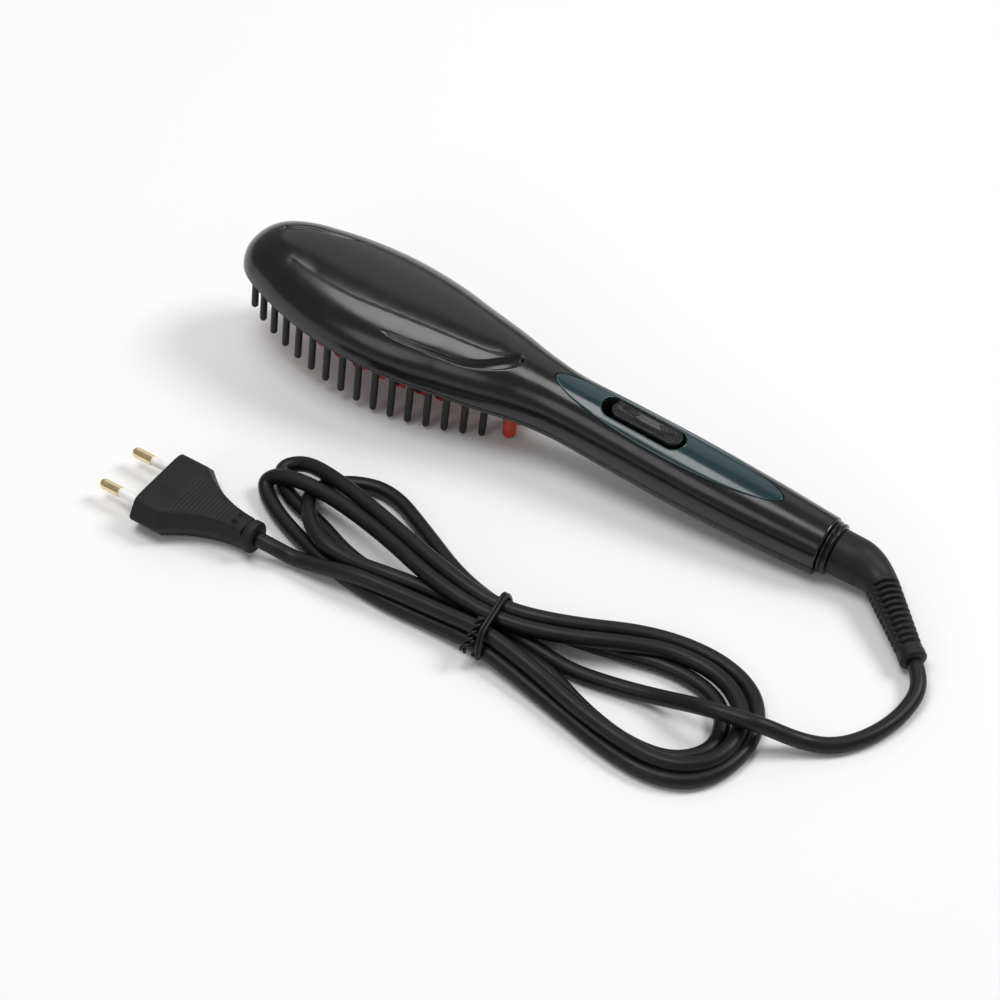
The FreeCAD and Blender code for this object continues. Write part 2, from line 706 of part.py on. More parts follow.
def make_controls():
    top = station(ROCKER_X)[1] + ROCKER_PROUD
    bowl = stadium(ROCKER_X, ROCKER_LENGTH - 2 * ROCKER_RIM, ROCKER_WIDTH - 2 * ROCKER_RIM, 0, WIDE)
    button = stadium(ROCKER_X, ROCKER_LENGTH, ROCKER_WIDTH, ROCKER_BOTTOM, top)
    button = button.cut(bowl.common(rocker_dish(ROCKER_DISH_RADIUS, top)))
    button = button.fuse([rib.common(bowl) for rib in rocker_ribs(top)])
    pieces["rocker_button"] = button.cut(pivot_rod(PIVOT_RADIUS + PIVOT_FIT))
    pieces["rocker_pivot_pin"] = pivot_rod(PIVOT_RADIUS)

    half = BOARD_WIDTH / 2
    board = block(BOARD_START, BOARD_END, -half, half, BOARD_Z, BOARD_TOP)
    pieces["control_board"] = board.cut([rod(x, y, 0, WIDE, SCREW_HOLE) for x, y in BOARD_POSTS])
    drop = (SWITCH_X + PLUNGER_RADIUS) * math.sin(math.radians(ROCKER_TILT)) + PLUNGER_GAP
    size = SWITCH_SIZE / 2
    switches = []
    for side in (-1, 1):
        x = ROCKER_X + side * SWITCH_X
        body = block(x - size, x + size, -size, size, BOARD_TOP, BOARD_TOP + SWITCH_BODY)
        switches.append(body.fuse(rod(x, 0, BOARD_TOP, ROCKER_BOTTOM - drop, PLUNGER_RADIUS)))
    pieces["tact_switches"] = Part.Compound(switches)
    lx, ly, lz = LED_SIZE
    pieces["indicator_leds"] = Part.Compound([
        block(x, x + lx, -ly / 2, ly / 2, BOARD_TOP, BOARD_TOP + lz) for x in LED_XS])


# Swivel and boot
RING_START = TAIL + RING_GAP
BOOT_START = RING_START + RING_LENGTH
CLIP_END = BUSH_START - CLIP_GAP
SHAFT_START = CLIP_END - CLIP_THICK - SHAFT_TAIL


def make_swivel():
    bush = axle(BUSH_START, BUSH_END - CLIP_SEAT, BUSH_RADIUS)
    pieces["swivel_bush"] = bush.cut(axle(0, FAR, SHAFT_RADIUS + RUN_FIT))
    ring = axle(SHAFT_START, RING_START, SHAFT_RADIUS).fuse(axle(RING_START, BOOT_START, RING_RADIUS))
    groove = axle(CLIP_END - CLIP_THICK - CLIP_SEAT, CLIP_END + CLIP_SEAT, SHAFT_RADIUS + 1.0)
    groove = groove.cut(axle(0, FAR, SHAFT_RADIUS - CLIP_GROOVE))
    pieces["swivel_ring"] = ring.cut(groove).cut(axle(0, FAR, WIRE_BORE))
    neck = SHAFT_RADIUS - CLIP_GROOVE + CLIP_SEAT
    clip = axle(CLIP_END - CLIP_THICK, CLIP_END, CLIP_RADIUS).cut(axle(0, FAR, neck))
    mouth = block(0, FAR, -neck * 0.8, neck * 0.8, SWIVEL_Z - WIDE, SWIVEL_Z)
    pieces["retaining_clip"] = clip.cut(mouth)


def boot_bend_point(angle):
    """Centre and direction of the boot's bend after a turn."""
    a = math.radians(angle)
    x = BOOT_START + BOOT_STRAIGHT + BOOT_BEND * math.sin(a)
    y = -BOOT_BEND * (1.0 - math.cos(a))
    return Vector(x, y, SWIVEL_Z), Vector(math.cos(a), -math.sin(a), 0)


def boot_ribs():
    """Ribbed sleeve with an end flange, turned about the x axis from the origin."""
    points = [(0.0, 0.0), (0.0, BOOT_BEND_RADIUS)]
    for i in range(BOOT_RIBS):
        r = BOOT_BEND_RADIUS + (BOOT_END_RADIUS - BOOT_BEND_RADIUS) * (i + 1.0) / BOOT_RIBS
        start = (i + 0.5) * RIB_PITCH
        end = start + RIB_PITCH * 0.5
        before = points[-1][1]
        points += [(start, before), (start, r - RIB_DEPTH), (end, r - RIB_DEPTH), (end, r)]
    length = (BOOT_RIBS + 0.5) * RIB_PITCH
    points += [(length, BOOT_END_RADIUS), (length, FLANGE_RADIUS)]
    points += [(length + FLANGE_LENGTH, FLANGE_RADIUS), (length + FLANGE_LENGTH, 0.0), (0.0, 0.0)]
    face = Part.Face(Part.makePolygon([Vector(x, 0, r) for x, r in points]))
    return face.revolve(Vector(0, 0, 0), Vector(1, 0, 0), 360)


BOOT_SLEEVE = (BOOT_RIBS + 0.5) * RIB_PITCH + FLANGE_LENGTH


def make_boot():
    root = axle(BOOT_START, BOOT_START + BOOT_STRAIGHT, BOOT_ROOT_RADIUS)
    circles = []
    steps = 6
    for i in range(steps + 1):
        centre, along = boot_bend_point(BOOT_ANGLE * i / steps)
        r = BOOT_ROOT_RADIUS + (BOOT_BEND_RADIUS - BOOT_ROOT_RADIUS) * i / steps
        circles.append(Part.Wire(Part.makeCircle(r, centre, along)))
    elbow = Part.makeLoft(circles, True, False)
    centre, _ = boot_bend_point(BOOT_ANGLE)
    sleeve = boot_ribs()
    sleeve.rotate(Vector(0, 0, 0), Vector(0, 0, 1), -BOOT_ANGLE)
    sleeve.translate(centre)
    pieces["strain_relief"] = root.fuse([elbow, sleeve])


def boot_exit():
    """Point and direction where the cord leaves the boot, in the brush's frame."""
    centre, along = boot_bend_point(BOOT_ANGLE)
    return centre + along * BOOT_SLEEVE, along


# Routes of straight runs joined by tangent arcs
def route_wire(points):
    """Path through hand-set points, each corner rounded as far as its runs allow, and its least radius."""
    edges, at, least = [], points[0], FAR
    for before, corner, after in zip(points, points[1:], points[2:]):
        a, b = before - corner, after - corner
        turn = math.pi - a.getAngle(b)
        cut = 0.45 * min(a.Length, b.Length)
        radius = cut / math.tan(turn / 2.0)
        least = min(least, radius)
        start = corner + a.normalize() * cut
        end = corner + b.normalize() * cut
        bisector = (a + b).normalize()
        mid = corner + bisector * (radius / math.cos(turn / 2.0) - radius)
        edges += [Part.LineSegment(at, start).toShape(), Part.Arc(start, mid, end).toShape()]
        at = end
    edges.append(Part.LineSegment(at, points[-1]).toShape())
    return Part.Wire(edges), least


def tube(path, radius):
    """Round tube along a path, as one solid."""
    start = path.OrderedEdges[0]
    along = start.tangentAt(start.FirstParameter)
    ring = Part.Wire(Part.makeCircle(radius, start.valueAt(start.FirstParameter), along))
    shell = Part.BRepOffsetAPI.MakePipeShell(path)
    shell.add(ring)
    shell.build()
    shell.makeSolid()
    return shell.shape()


def route_tube(name, points, radius):
    """Tube along a hand-set route; prints its least radius and how its volume compares."""
    path, least = route_wire(points)
    solid = tube(path, radius)
    share = solid.Volume / (math.pi * radius ** 2 * path.Length)
    print("%s: length %.1f, least radius %.1f, volume over section times length %.4f"
          % (name, path.Length, least, share))
    return solid, path.Length


# Inner wires, in the brush's frame
def make_wires():
    length = PTC_SIZE[0]
    start = PTC_STARTS[-1] + length
    level = HEATER_TOP + WIRE_RADIUS + RUN_FIT
    foot = BOARD_TOP + WIRE_RADIUS + RUN_FIT
    leads, mains = [], []
    for side in (-1, 1):
        y = side * WIRE_SIDE
        points = [Vector(start, y * LEAD_SIDE, level), Vector(start + LEAD_STRAIGHT, y * LEAD_SIDE, level),
                  Vector(start + LEAD_BEND, y, level + LEAD_RISE),
                  Vector(BOARD_START - LEAD_NECK, y + side * WIRE_RADIUS / 2, WIRE_HEIGHT),
                  Vector(BOARD_START + LEAD_DROP, y, BOARD_TOP + 3 * WIRE_RADIUS),
                  Vector(BOARD_START + LEAD_FOOT, y, foot)]
        leads.append(route_tube("heater lead", points, WIRE_RADIUS)[0])
        y = side * WIRE_RADIUS * MAINS_CLEAR
        points = [Vector(BOOT_START - FIT_GAP, y, SWIVEL_Z), Vector(SHAFT_START - LEAD_DROP, y, SWIVEL_Z),
                  Vector(BOARD_END - MAINS_DROP, side * MAINS_SIDE, BOARD_TOP + 2 * WIRE_RADIUS),
                  Vector(BOARD_END - MAINS_FOOT, side * MAINS_SIDE, foot)]
        mains.append(route_tube("mains wire", points, WIRE_RADIUS)[0])
    pieces["heater_leads"] = Part.Compound(leads)
    pieces["mains_wires"] = Part.Compound(mains)
    y = -HEATER_SIDE - SENSOR_SIZE[1] / 2
    level = HEATER_TOP + SENSOR_SIZE[2] / 2
    start = HEAD_WIDEST + SENSOR_SIZE[0]
    points = [Vector(start, y, level), Vector(start + SENSOR_RUN, y, level),
              Vector(start + SENSOR_BEND, y + SENSOR_SHIFT, level),
              Vector(BOARD_START - SENSOR_NECK, -SENSOR_SIDE - WIRE_RADIUS, WIRE_HEIGHT - SENSOR_SIZE[2] / 2),
              Vector(BOARD_START + WIRE_RADIUS, -SENSOR_SIDE, BOARD_TOP + 3 * WIRE_RADIUS),
              Vector(BOARD_START + SENSOR_SIDE, -SENSOR_SIDE, BOARD_TOP + WIRE_RADIUS / 2 + RUN_FIT)]
    pieces["sensor_wire"] = route_tube("sensor wire", points, WIRE_RADIUS / 2)[0]


# Laying the brush on the table
make_casing()
make_screws()
make_head()
make_heater()
make_controls()
make_swivel()
make_boot()
make_wires()
LEAN = FreeCAD.Rotation(Vector(0, 1, 0), PITCH)
for shape in pieces.values():
    shape.rotate(Vector(0, 0, 0), Vector(0, 1, 0), PITCH)
standing = Part.Compound([shape for name, shape in pieces.items() if name != "strain_relief"])
box = standing.optimalBoundingBox()
REST = Vector(-0.5 * (box.XMin + box.XMax), -0.5 * (box.YMin + box.YMax), -box.ZMin)
for shape in pieces.values():
    shape.translate(REST)


def on_table(point):
    """Point of the brush's frame on the table."""
    return LEAN.multVec(point) + REST


# Hank
CORD_Z = CORD_RADIUS + CORD_LIFT
NEIGHBOURS = 8


def side_point(side, along, across, lift):
    """Point of the hank on one side of the tie, with its outward direction."""
    angle = math.radians(LEFT_AXIS if side < 0 else RIGHT_AXIS)
    out = Vector(math.cos(angle), math.sin(angle), 0)
    far = Vector(-out.y, out.x, 0) * (1 if out.x > 0 else -1)
    return Vector(WAIST[0], WAIST[1], CORD_Z + lift) + out * along + far * across, out, far


def upper_lane(number):
    """Place across the waist of one of the strands on top."""
    return (number - (TURNS - 1) / 2.0) * STRAND_STEP + WAIST_SHIFT


def lower_lane(number):
    """Place across the waist of one of the strands underneath."""
    return (TURNS / 2.0 - number) * STRAND_STEP - WAIST_SHIFT


def strand(upper, number, travel):
    """Waist pass of the cord: shoulder, tie and shoulder, with directions of travel."""
    middle = upper_lane(number) if upper else lower_lane(number)
    spread = SPREAD_FAR if upper else -SPREAD_NEAR
    lift = LAYER if upper else 0.0
    nodes = []
    for side in (-travel, 0, travel):
        place, out, far = side_point(side or 1, SHOULDER * abs(side), middle + spread * abs(side), lift)
        if side == 0:
            place.z += WAIST_LIFT
            left = side_point(-1, 0, 0, 0)[1]
            heading = (out - left) * (0.5 * travel)
        else:
            heading = (out + far * (0.45 * spread / SHOULDER)) * (side * travel)
        nodes.append((place, heading.normalize()))
    return nodes


def lobe(side, number):
    """Half turn round one end of the hank, in the order of travel."""
    left = side < 0
    half = (LEFT_INNER if left else RIGHT_INNER) + number * STRAND_STEP
    mid = LEFT_MID if left else RIGHT_MID
    offset = LEFT_OFFSET if left else RIGHT_OFFSET
    reach = mid + half * (LEFT_REACH if left else RIGHT_REACH)
    first = -1 if left else 1
    nodes = []
    for along, across in ((mid, first * half), (reach, 0.0), (mid, -first * half)):
        place, out, far = side_point(side, along, offset + across, 0.0)
        if along == reach:
            heading = far * -first
        else:
            heading = out * (1 if across * first > 0 else -1)
        nodes.append((place, heading))
    return nodes


def hank_nodes():
    """Places and headings of the hank, from the lead's end to the tail's start."""
    nodes = []
    for number in range(TURNS):
        nodes += strand(False, number, -1) + lobe(-1, number)
        nodes += strand(True, number, 1) + lobe(1, number)
    return nodes + strand(False, TURNS, -1)


def biarc(start, leave, end, arrive):
    """Two arcs that join two places with given headings."""
    gap = end - start
    both = leave + arrive
    a = 2.0 * (1.0 - leave.dot(arrive))
    b = 2.0 * gap.dot(both)
    reach = gap.dot(gap) / b if a < 1e-9 else (-b + math.sqrt(b * b + 4.0 * a * gap.dot(gap))) / (2.0 * a)
    first, last = start + leave * reach, end - arrive * reach
    joint = (first + last) * 0.5
    return [half_arc(start, first, joint), half_arc(joint, last, end)]


def half_arc(start, corner, end):
    """Arc that touches the two sides of a corner of equal sides."""
    chord = (start + end) * 0.5
    half = (end - start).Length / 2.0
    height = (corner - chord).Length
    if height < 1e-4 * half:
        return Part.LineSegment(start, end).toShape()
    side = math.hypot(half, height)
    rise = half * (side - half) / height
    return Part.Arc(start, chord + (corner - chord).normalize() * rise, end).toShape()


def least_gap(path):
    """Least clear space between the hank's turns, measured on points a few millimetres apart."""
    points = path.discretize(Distance=CORD_RADIUS)
    least = FAR
    for i, p in enumerate(points):
        for q in points[i + NEIGHBOURS:]:
            least = min(least, p.distanceToPoint(q))
    return least - 2.0 * CORD_RADIUS


def make_cord():
    nodes = hank_nodes()
    start, leave = nodes[0]
    end, arrive = nodes[-1]
    straight = 2.0 * CORD_RADIUS
    before, after = start - leave * straight, end + arrive * straight
    edges = [Part.LineSegment(before, start).toShape()]
    for (p, u), (q, v) in zip(nodes, nodes[1:]):
        edges += biarc(p, u, q, v)
    edges.append(Part.LineSegment(end, after).toShape())
    path = Part.Wire(edges)
    radii = [edge.Curve.Radius for edge in edges if hasattr(edge.Curve, "Radius")]
    hank = tube(path, CORD_RADIUS)
    share = hank.Volume / (math.pi * CORD_RADIUS ** 2 * path.Length)
    print("hank: length %.1f, least radius %.1f, volume over section times length %.4f"
          % (path.Length, min(radii), share))
    print("hank: least gap to itself %.2f" % least_gap(path))
    pieces["cord_hank"] = hank

    exit_point = on_table(boot_exit()[0])
    heading = LEAN.multVec(boot_exit()[1])
    route = [exit_point, exit_point + heading * LEAD_RUN]
    route += [Vector(x, y, CORD_Z + z) for x, y, z in LEAD]
    route += [before - leave * CORD_END_RUN, before]
    pieces["cord_lead"], lead_length = route_tube("lead", route, CORD_RADIUS)
    route = [after, after + arrive * CORD_END_RUN]
    route += [Vector(x, y, CORD_Z + z) for x, y, z in TAIL_ROUTE]
    route += [plug_point(-PLUG_RUN), plug_point(0.0)]
    pieces["cord_tail"], tail_length = route_tube("tail", route, CORD_RADIUS)
    print("whole cord %.0f" % (path.Length + lead_length + tail_length))


def make_tie():
    reach = CORD_RADIUS + TIE_GAP
    low = CORD_LIFT + WAIST_LIFT - TIE_GAP
    high = CORD_Z + WAIST_LIFT + LAYER + reach
    middle = CORD_Z + WAIST_LIFT + LAYER / 2
    near, far = lower_lane(TURNS) - reach, max(lower_lane(0), upper_lane(TURNS - 1)) + reach
    top_near = upper_lane(0) - reach
    corners = [(near, low), (far, low), (far, high), (top_near, high), (near, middle)]
    points = []
    for across, height in corners:
        place, _, _ = side_point(1, -TIE_WIDTH / 2, across, 0)
        points.append(Vector(place.x, place.y, height))
    wire = Part.makePolygon(points + points[:1])
    band = Part.Face(wire.makeOffset2D(TIE_THICK)).cut(Part.Face(wire))
    pieces["cord_tie"] = band.extrude(Vector(TIE_WIDTH, 0, 0))


# Plug
def plug_direction():
    """Direction from the cord to the plug's pins."""
    angle = math.radians(PLUG_TURN)
    return Vector(math.cos(angle), math.sin(angle), 0)


def plug_point(along, across=0.0, up=0.0):
    """Point of the plug, measured from where the cord enters it."""
    out = plug_direction()
    side = Vector(-out.y, out.x, 0)
    return Vector(PLUG_END[0], PLUG_END[1], PLUG_HALF_THICK) + out * along + side * across + Vector(0, 0, up)


def plug_section(along, half, flat, thick):
    """Six-sided section of the plug's body."""
    corners = [(half, 0), (flat, thick), (-flat, thick), (-half, 0), (-flat, -thick), (flat, -thick)]
    return Part.makePolygon([plug_point(along, a, b) for a, b in corners + corners[:1]])


def plug_rod(start, end, across, radius):
    """Round rod of the plug along its pins."""
    return Part.makeCylinder(radius, end - start, plug_point(start, across), plug_direction())


def make_plug():
    face = PLUG_FLANGE + PLUG_LENGTH
    shoulder = face - PLUG_SHOULDER
    slim = PLUG_FLAT / PLUG_HALF_WIDTH
    sections = [plug_section(face, PLUG_HALF_WIDTH, PLUG_FLAT, PLUG_HALF_THICK),
                plug_section(shoulder, PLUG_HALF_WIDTH, PLUG_FLAT, PLUG_HALF_THICK)]
    steps = 4
    for i in range(1, steps + 1):
        share = i / steps
        half = PLUG_NECK + (PLUG_HALF_WIDTH - PLUG_NECK) * (1.0 - share) ** 2
        thick = PLUG_NECK + (PLUG_HALF_THICK - PLUG_NECK) * (1.0 - share)
        sections.append(plug_section(shoulder + (PLUG_FLANGE - shoulder) * share, half, half * slim, thick))
    body = Part.makeLoft(sections, True, True).fuse(plug_rod(0, PLUG_FLANGE, 0, PLUG_FLANGE_RADIUS))
    pins, sleeves = [], []
    for side in (-1, 1):
        across = side * PLUG_PIN_SPACING / 2
        tip = face + PLUG_PIN_LENGTH
        shank = plug_rod(face - PIN_BURIED, tip - PLUG_PIN_RADIUS, across, SHANK_RADIUS)
        bare = plug_rod(face + SLEEVE_LENGTH, tip - PLUG_PIN_RADIUS, across, PLUG_PIN_RADIUS)
        dome = Part.makeSphere(PLUG_PIN_RADIUS, plug_point(tip - PLUG_PIN_RADIUS, across))
        pins.append(shank.fuse([bare, dome]))
        hole = plug_rod(face - PIN_BURIED, face + SLEEVE_LENGTH, across, SHANK_RADIUS)
        sleeves.append(plug_rod(face, face + SLEEVE_LENGTH, across, SLEEVE_RADIUS).cut(hole))
        body = body.cut(hole)
    pieces["plug_body"] = body
    pieces["plug_pins"] = Part.Compound(pins)
    pieces["pin_sleeves"] = Part.Compound(sleeves)


make_cord()
make_tie()
make_plug()

print("swivel axis point", on_table(Vector(TAIL, 0, SWIVEL_Z)))
print("swivel axis direction", LEAN.multVec(Vector(1, 0, 0)))
print("rocker pivot", on_table(Vector(ROCKER_X, 0, PIVOT_Z)))
print("cord exit", on_table(boot_exit()[0]))

for name, shape in pieces.items():
    shape.exportStep("parts/%s.step" % name)
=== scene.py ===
import bmesh
import bpy
import math

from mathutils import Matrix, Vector


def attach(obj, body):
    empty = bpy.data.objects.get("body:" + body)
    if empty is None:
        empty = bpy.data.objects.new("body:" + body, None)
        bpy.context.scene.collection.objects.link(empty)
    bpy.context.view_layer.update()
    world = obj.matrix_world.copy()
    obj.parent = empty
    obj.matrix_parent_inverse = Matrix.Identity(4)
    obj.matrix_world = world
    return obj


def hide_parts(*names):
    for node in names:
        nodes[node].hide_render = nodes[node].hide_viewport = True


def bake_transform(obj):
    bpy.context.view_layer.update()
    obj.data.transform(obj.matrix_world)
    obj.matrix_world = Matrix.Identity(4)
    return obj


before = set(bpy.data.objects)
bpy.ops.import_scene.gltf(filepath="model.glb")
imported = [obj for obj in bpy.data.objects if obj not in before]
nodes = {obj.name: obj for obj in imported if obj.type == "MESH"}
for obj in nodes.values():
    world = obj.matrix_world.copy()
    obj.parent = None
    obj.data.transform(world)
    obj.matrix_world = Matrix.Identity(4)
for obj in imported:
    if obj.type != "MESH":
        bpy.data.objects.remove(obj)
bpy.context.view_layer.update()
scene = bpy.context.scene
MM = 0.001


# Camera at the photograph's angle: distances in metres, lens and sensor in millimetres
CAMERA_AZIMUTH = math.radians(32.0)
CAMERA_ELEVATION = math.radians(47.0)
CAMERA_DISTANCE = 1.1
CAMERA_TARGET = Vector((0.00582, -0.03383, 0.0))
CAMERA_LENS = 110.4
CAMERA_SENSOR = 36.0
CAMERA_CLIP = 0.01


def aim(thing, direction):
    """Turns a camera or a lamp to look along a direction."""
    thing.rotation_euler = direction.to_track_quat("-Z", "Y").to_euler()


def add_camera():
    """Camera that looks at its target from the photograph's side."""
    data = bpy.data.cameras.new("camera")
    data.lens = CAMERA_LENS
    data.sensor_width = CAMERA_SENSOR
    data.clip_start = CAMERA_CLIP
    camera = bpy.data.objects.new("camera", data)
    scene.collection.objects.link(camera)
    flat = math.cos(CAMERA_ELEVATION)
    away = Vector((math.sin(CAMERA_AZIMUTH) * flat, -math.cos(CAMERA_AZIMUTH) * flat,
                   math.sin(CAMERA_ELEVATION)))
    camera.location = CAMERA_TARGET + away * CAMERA_DISTANCE
    aim(camera, -away)
    scene.camera = camera


# Material helpers: noise scales for coordinates in metres, bump depths in metres
TONE_SCALE = 60.0
TONE_SPAN = (0.35, 0.65)
GLOSS_SCALE = 140.0
GLOSS_SPAN = (0.3, 0.7)
GRAIN_DEPTH = 0.00004
LINE_SCALE = 2400.0
LINE_STRENGTH = 0.12
LINE_DEPTH = 0.00002
LINE_GLOSS = (0.75, 1.35)
WEAR_SCALE = 300.0
WEAR_TONE = 0.85

# Dark mouldings reflect a little less than the shader does by itself
DARK = {"Specular_IOR_Level": 0.28}


def material(name, color, roughness, **sockets):
    """Principled material with its plain numbers set on the shader itself."""
    mat = bpy.data.materials.new(name)
    mat.use_nodes = True
    shader = mat.node_tree.nodes["Principled BSDF"]
    shader.inputs["Base Color"].default_value = (*color, 1.0)
    shader.inputs["Roughness"].default_value = roughness
    for socket, value in sockets.items():
        shader.inputs[socket.replace("_", " ")].default_value = value
    return mat


def node(mat, kind, **values):
    """New shader node with input values and properties set by name."""
    made = mat.node_tree.nodes.new(kind)
    for key, value in values.items():
        if key in made.inputs:
            made.inputs[key].default_value = value
        else:
            setattr(made, key, value)
    return made


def link(mat, start, end):
    mat.node_tree.links.new(start, end)


def shader_input(mat, name):
    return mat.node_tree.nodes["Principled BSDF"].inputs[name]


def noise(mat, scale, detail=3.0, stretch=(1.0, 1.0, 1.0)):
    """Noise in the object's own coordinates, stretched along its axes."""
    coords = node(mat, "ShaderNodeTexCoord")
    mapping = node(mat, "ShaderNodeMapping", Scale=stretch)
    texture = node(mat, "ShaderNodeTexNoise", Scale=scale, Detail=detail)
    link(mat, coords.outputs["Object"], mapping.inputs["Vector"])
    link(mat, mapping.outputs["Vector"], texture.inputs["Vector"])
    return texture.outputs["Fac"]


def vary_roughness(mat, low, high, height):
    """Roughness that wanders between two values."""
    ramp = node(mat, "ShaderNodeMapRange")
    ramp.inputs["From Min"].default_value = GLOSS_SPAN[0]
    ramp.inputs["From Max"].default_value = GLOSS_SPAN[1]
    ramp.inputs["To Min"].default_value = low
    ramp.inputs["To Max"].default_value = high
    link(mat, height, ramp.inputs["Value"])
    link(mat, ramp.outputs["Result"], shader_input(mat, "Roughness"))


def vary_color(mat, dark, light, height):
    """Colour that wanders between two tones."""
    ramp = node(mat, "ShaderNodeValToRGB")
    for element, position, color in zip(ramp.color_ramp.elements, TONE_SPAN, (dark, light)):
        element.position = position
        element.color = (*color, 1.0)
    link(mat, height, ramp.inputs["Fac"])
    link(mat, ramp.outputs["Color"], shader_input(mat, "Base Color"))


def add_bump(mat, height, strength, distance):
    """Bump from a height output."""
    bump = node(mat, "ShaderNodeBump", Strength=strength, Distance=distance)
    link(mat, height, bump.inputs["Height"])
    link(mat, bump.outputs["Normal"], shader_input(mat, "Normal"))


def moulded(name, color, roughness, grain=0.25, scale=2600.0, spread=0.15, **sockets):
    """Moulded plastic or rubber: fine grain, and tone and gloss that wander a little."""
    mat = material(name, color, roughness, **sockets)
    less, more = 1.0 - spread, 1.0 + spread
    vary_color(mat, [c * less for c in color], [min(c * more, 1.0) for c in color], noise(mat, TONE_SCALE))
    vary_roughness(mat, roughness * less, min(roughness * more, 1.0), noise(mat, GLOSS_SCALE))
    add_bump(mat, noise(mat, scale), grain, GRAIN_DEPTH)
    return mat


def metal(name, color, roughness, stretch=(1.0, 1.0, 1.0)):
    """Worked metal with fine drawn lines and patches of wear."""
    mat = material(name, color, roughness, Metallic=1.0)
    lines = noise(mat, LINE_SCALE, stretch=stretch)
    vary_color(mat, [c * WEAR_TONE for c in color], color, noise(mat, WEAR_SCALE))
    vary_roughness(mat, roughness * LINE_GLOSS[0], roughness * LINE_GLOSS[1], lines)
    add_bump(mat, lines, LINE_STRENGTH, LINE_DEPTH)
    return mat


def dress(mat, *names):
    """Gives CAD nodes a material."""
    for name in names:
        obj = nodes[name]
        for slot in obj.material_slots:
            slot.material = mat
        if not obj.material_slots:
            obj.data.materials.append(mat)


# Mesh helpers: points closer than these distances, in metres, are one point
SAME_VERTEX = 1e-6
SAME_POINT = 0.0004


def mesh_piece(name, verts, faces, mat, smooth=True, merge=0.0):
    """Object with a mesh; vertices closer than a distance are merged."""
    mesh = bpy.data.meshes.new(name)
    mesh.from_pydata([tuple(v) for v in verts], [], faces)
    if merge:
        work = bmesh.new()
        work.from_mesh(mesh)
        bmesh.ops.remove_doubles(work, verts=work.verts, dist=merge)
        bmesh.ops.recalc_face_normals(work, faces=work.faces)
        work.to_mesh(mesh)
        work.free()
    mesh.update()
    for polygon in mesh.polygons:
        polygon.use_smooth = smooth
    piece = bpy.data.objects.new(name, mesh)
    scene.collection.objects.link(piece)
    mesh.materials.append(mat)
    return piece


def stand_in(piece, body, slot, *names):
    """Lets a piece ride on a body in place of CAD nodes."""
    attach(piece, body)
    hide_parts(*names)


def grid_faces(rows, columns, first=0, closed=False):
    """Quads of a grid of vertices stored row by row."""
    faces = []
    for i in range(rows - 1):
        for k in range(columns if closed else columns - 1):
            a = first + i * columns + k
            b = first + i * columns + (k + 1) % columns
            faces.append((a, b, b + columns, a + columns))
    return faces


def smoothstep(value):
    """Smooth rise from 0 to 1 as a value goes from 0 to 1."""
    value = min(max(value, 0.0), 1.0)
    return value * value * (3.0 - 2.0 * value)


def spline_points(points, steps):
    """Points along the smooth line that has the given points as its control points."""
    curve = bpy.data.curves.new("route", "CURVE")
    curve.dimensions = "3D"
    curve.resolution_u = steps
    spline = curve.splines.new("NURBS")
    spline.points.add(len(points) - 1)
    for knot, point in zip(spline.points, points):
        knot.co = (*point, 1.0)
    spline.order_u = 3
    spline.use_endpoint_u = True
    holder = bpy.data.objects.new("route", curve)
    scene.collection.objects.link(holder)
    mesh = bpy.data.meshes.new_from_object(holder)
    line = []
    for vertex in mesh.vertices:
        if not line or (vertex.co - line[-1]).length > SAME_POINT:
            line.append(vertex.co.copy())
    bpy.data.objects.remove(holder)
    bpy.data.meshes.remove(mesh)
    bpy.data.curves.remove(curve)
    return line


def sweep(line, radius_at, sides, up=None):
    """Tube along a line, closed at both ends; its radius may change along and around it."""
    verts, faces = [], []
    along = (line[1] - line[0]).normalized()
    side = along.cross(up).normalized() if up else along.orthogonal().normalized()
    for i, point in enumerate(line):
        before, after = line[max(i - 1, 0)], line[min(i + 1, len(line) - 1)]
        turned = (after - before).normalized()
        side = (along.rotation_difference(turned) @ side).normalized()
        along = turned
        top = side.cross(along)
        for k in range(sides):
            a = math.tau * k / sides
            verts.append(point + (side * math.cos(a) + top * math.sin(a)) * radius_at(i, a))
    faces += grid_faces(len(line), sides, closed=True)
    faces.append(tuple(reversed(range(sides))))
    faces.append(tuple(range((len(line) - 1) * sides, len(line) * sides)))
    return verts, faces


# Casing surface in the brush's own frame, in millimetres
NOSE_RADIUS = 17.0
HEAD_HALF_WIDTH = 26.0
HEAD_WIDEST = 58.0
HEAD_END = 127.0
HEAD_END_RADIUS = 12.0
NOSE_RISE_LENGTH = 24.0
NOSE_HEIGHT = 16.6
CROWN = [(42.0, 17.6), (58.0, 18.2), (75.0, 18.4), (92.0, 18.2)]
HANDLE = [
    (110.0, 18.0, 17.6),
    (124.0, 14.6, 16.5),
    (138.0, 12.7, 15.5),
    (160.0, 12.9, 15.4),
    (190.0, 13.2, 14.7),
    (218.0, 12.4, 13.7),
    (244.5, 10.9, 12.5),
]
TOP_FULLNESS = 0.61
SWIVEL_Z = 2.1
LEAN = math.radians(6.1)
REST = (-124.221, 34.460)
TAIL = HANDLE[-1][0]
NECK = CROWN[-1][0]
END_CENTRE = HEAD_END - HEAD_END_RADIUS
HALVINGS = 30


def on_table(x, y, z):
    """Place on the table, in metres, of a point of the brush's frame."""
    return Vector((x * math.cos(LEAN) + z * math.sin(LEAN) + REST[0], y,
                   z * math.cos(LEAN) - x * math.sin(LEAN) + REST[1])) * MM


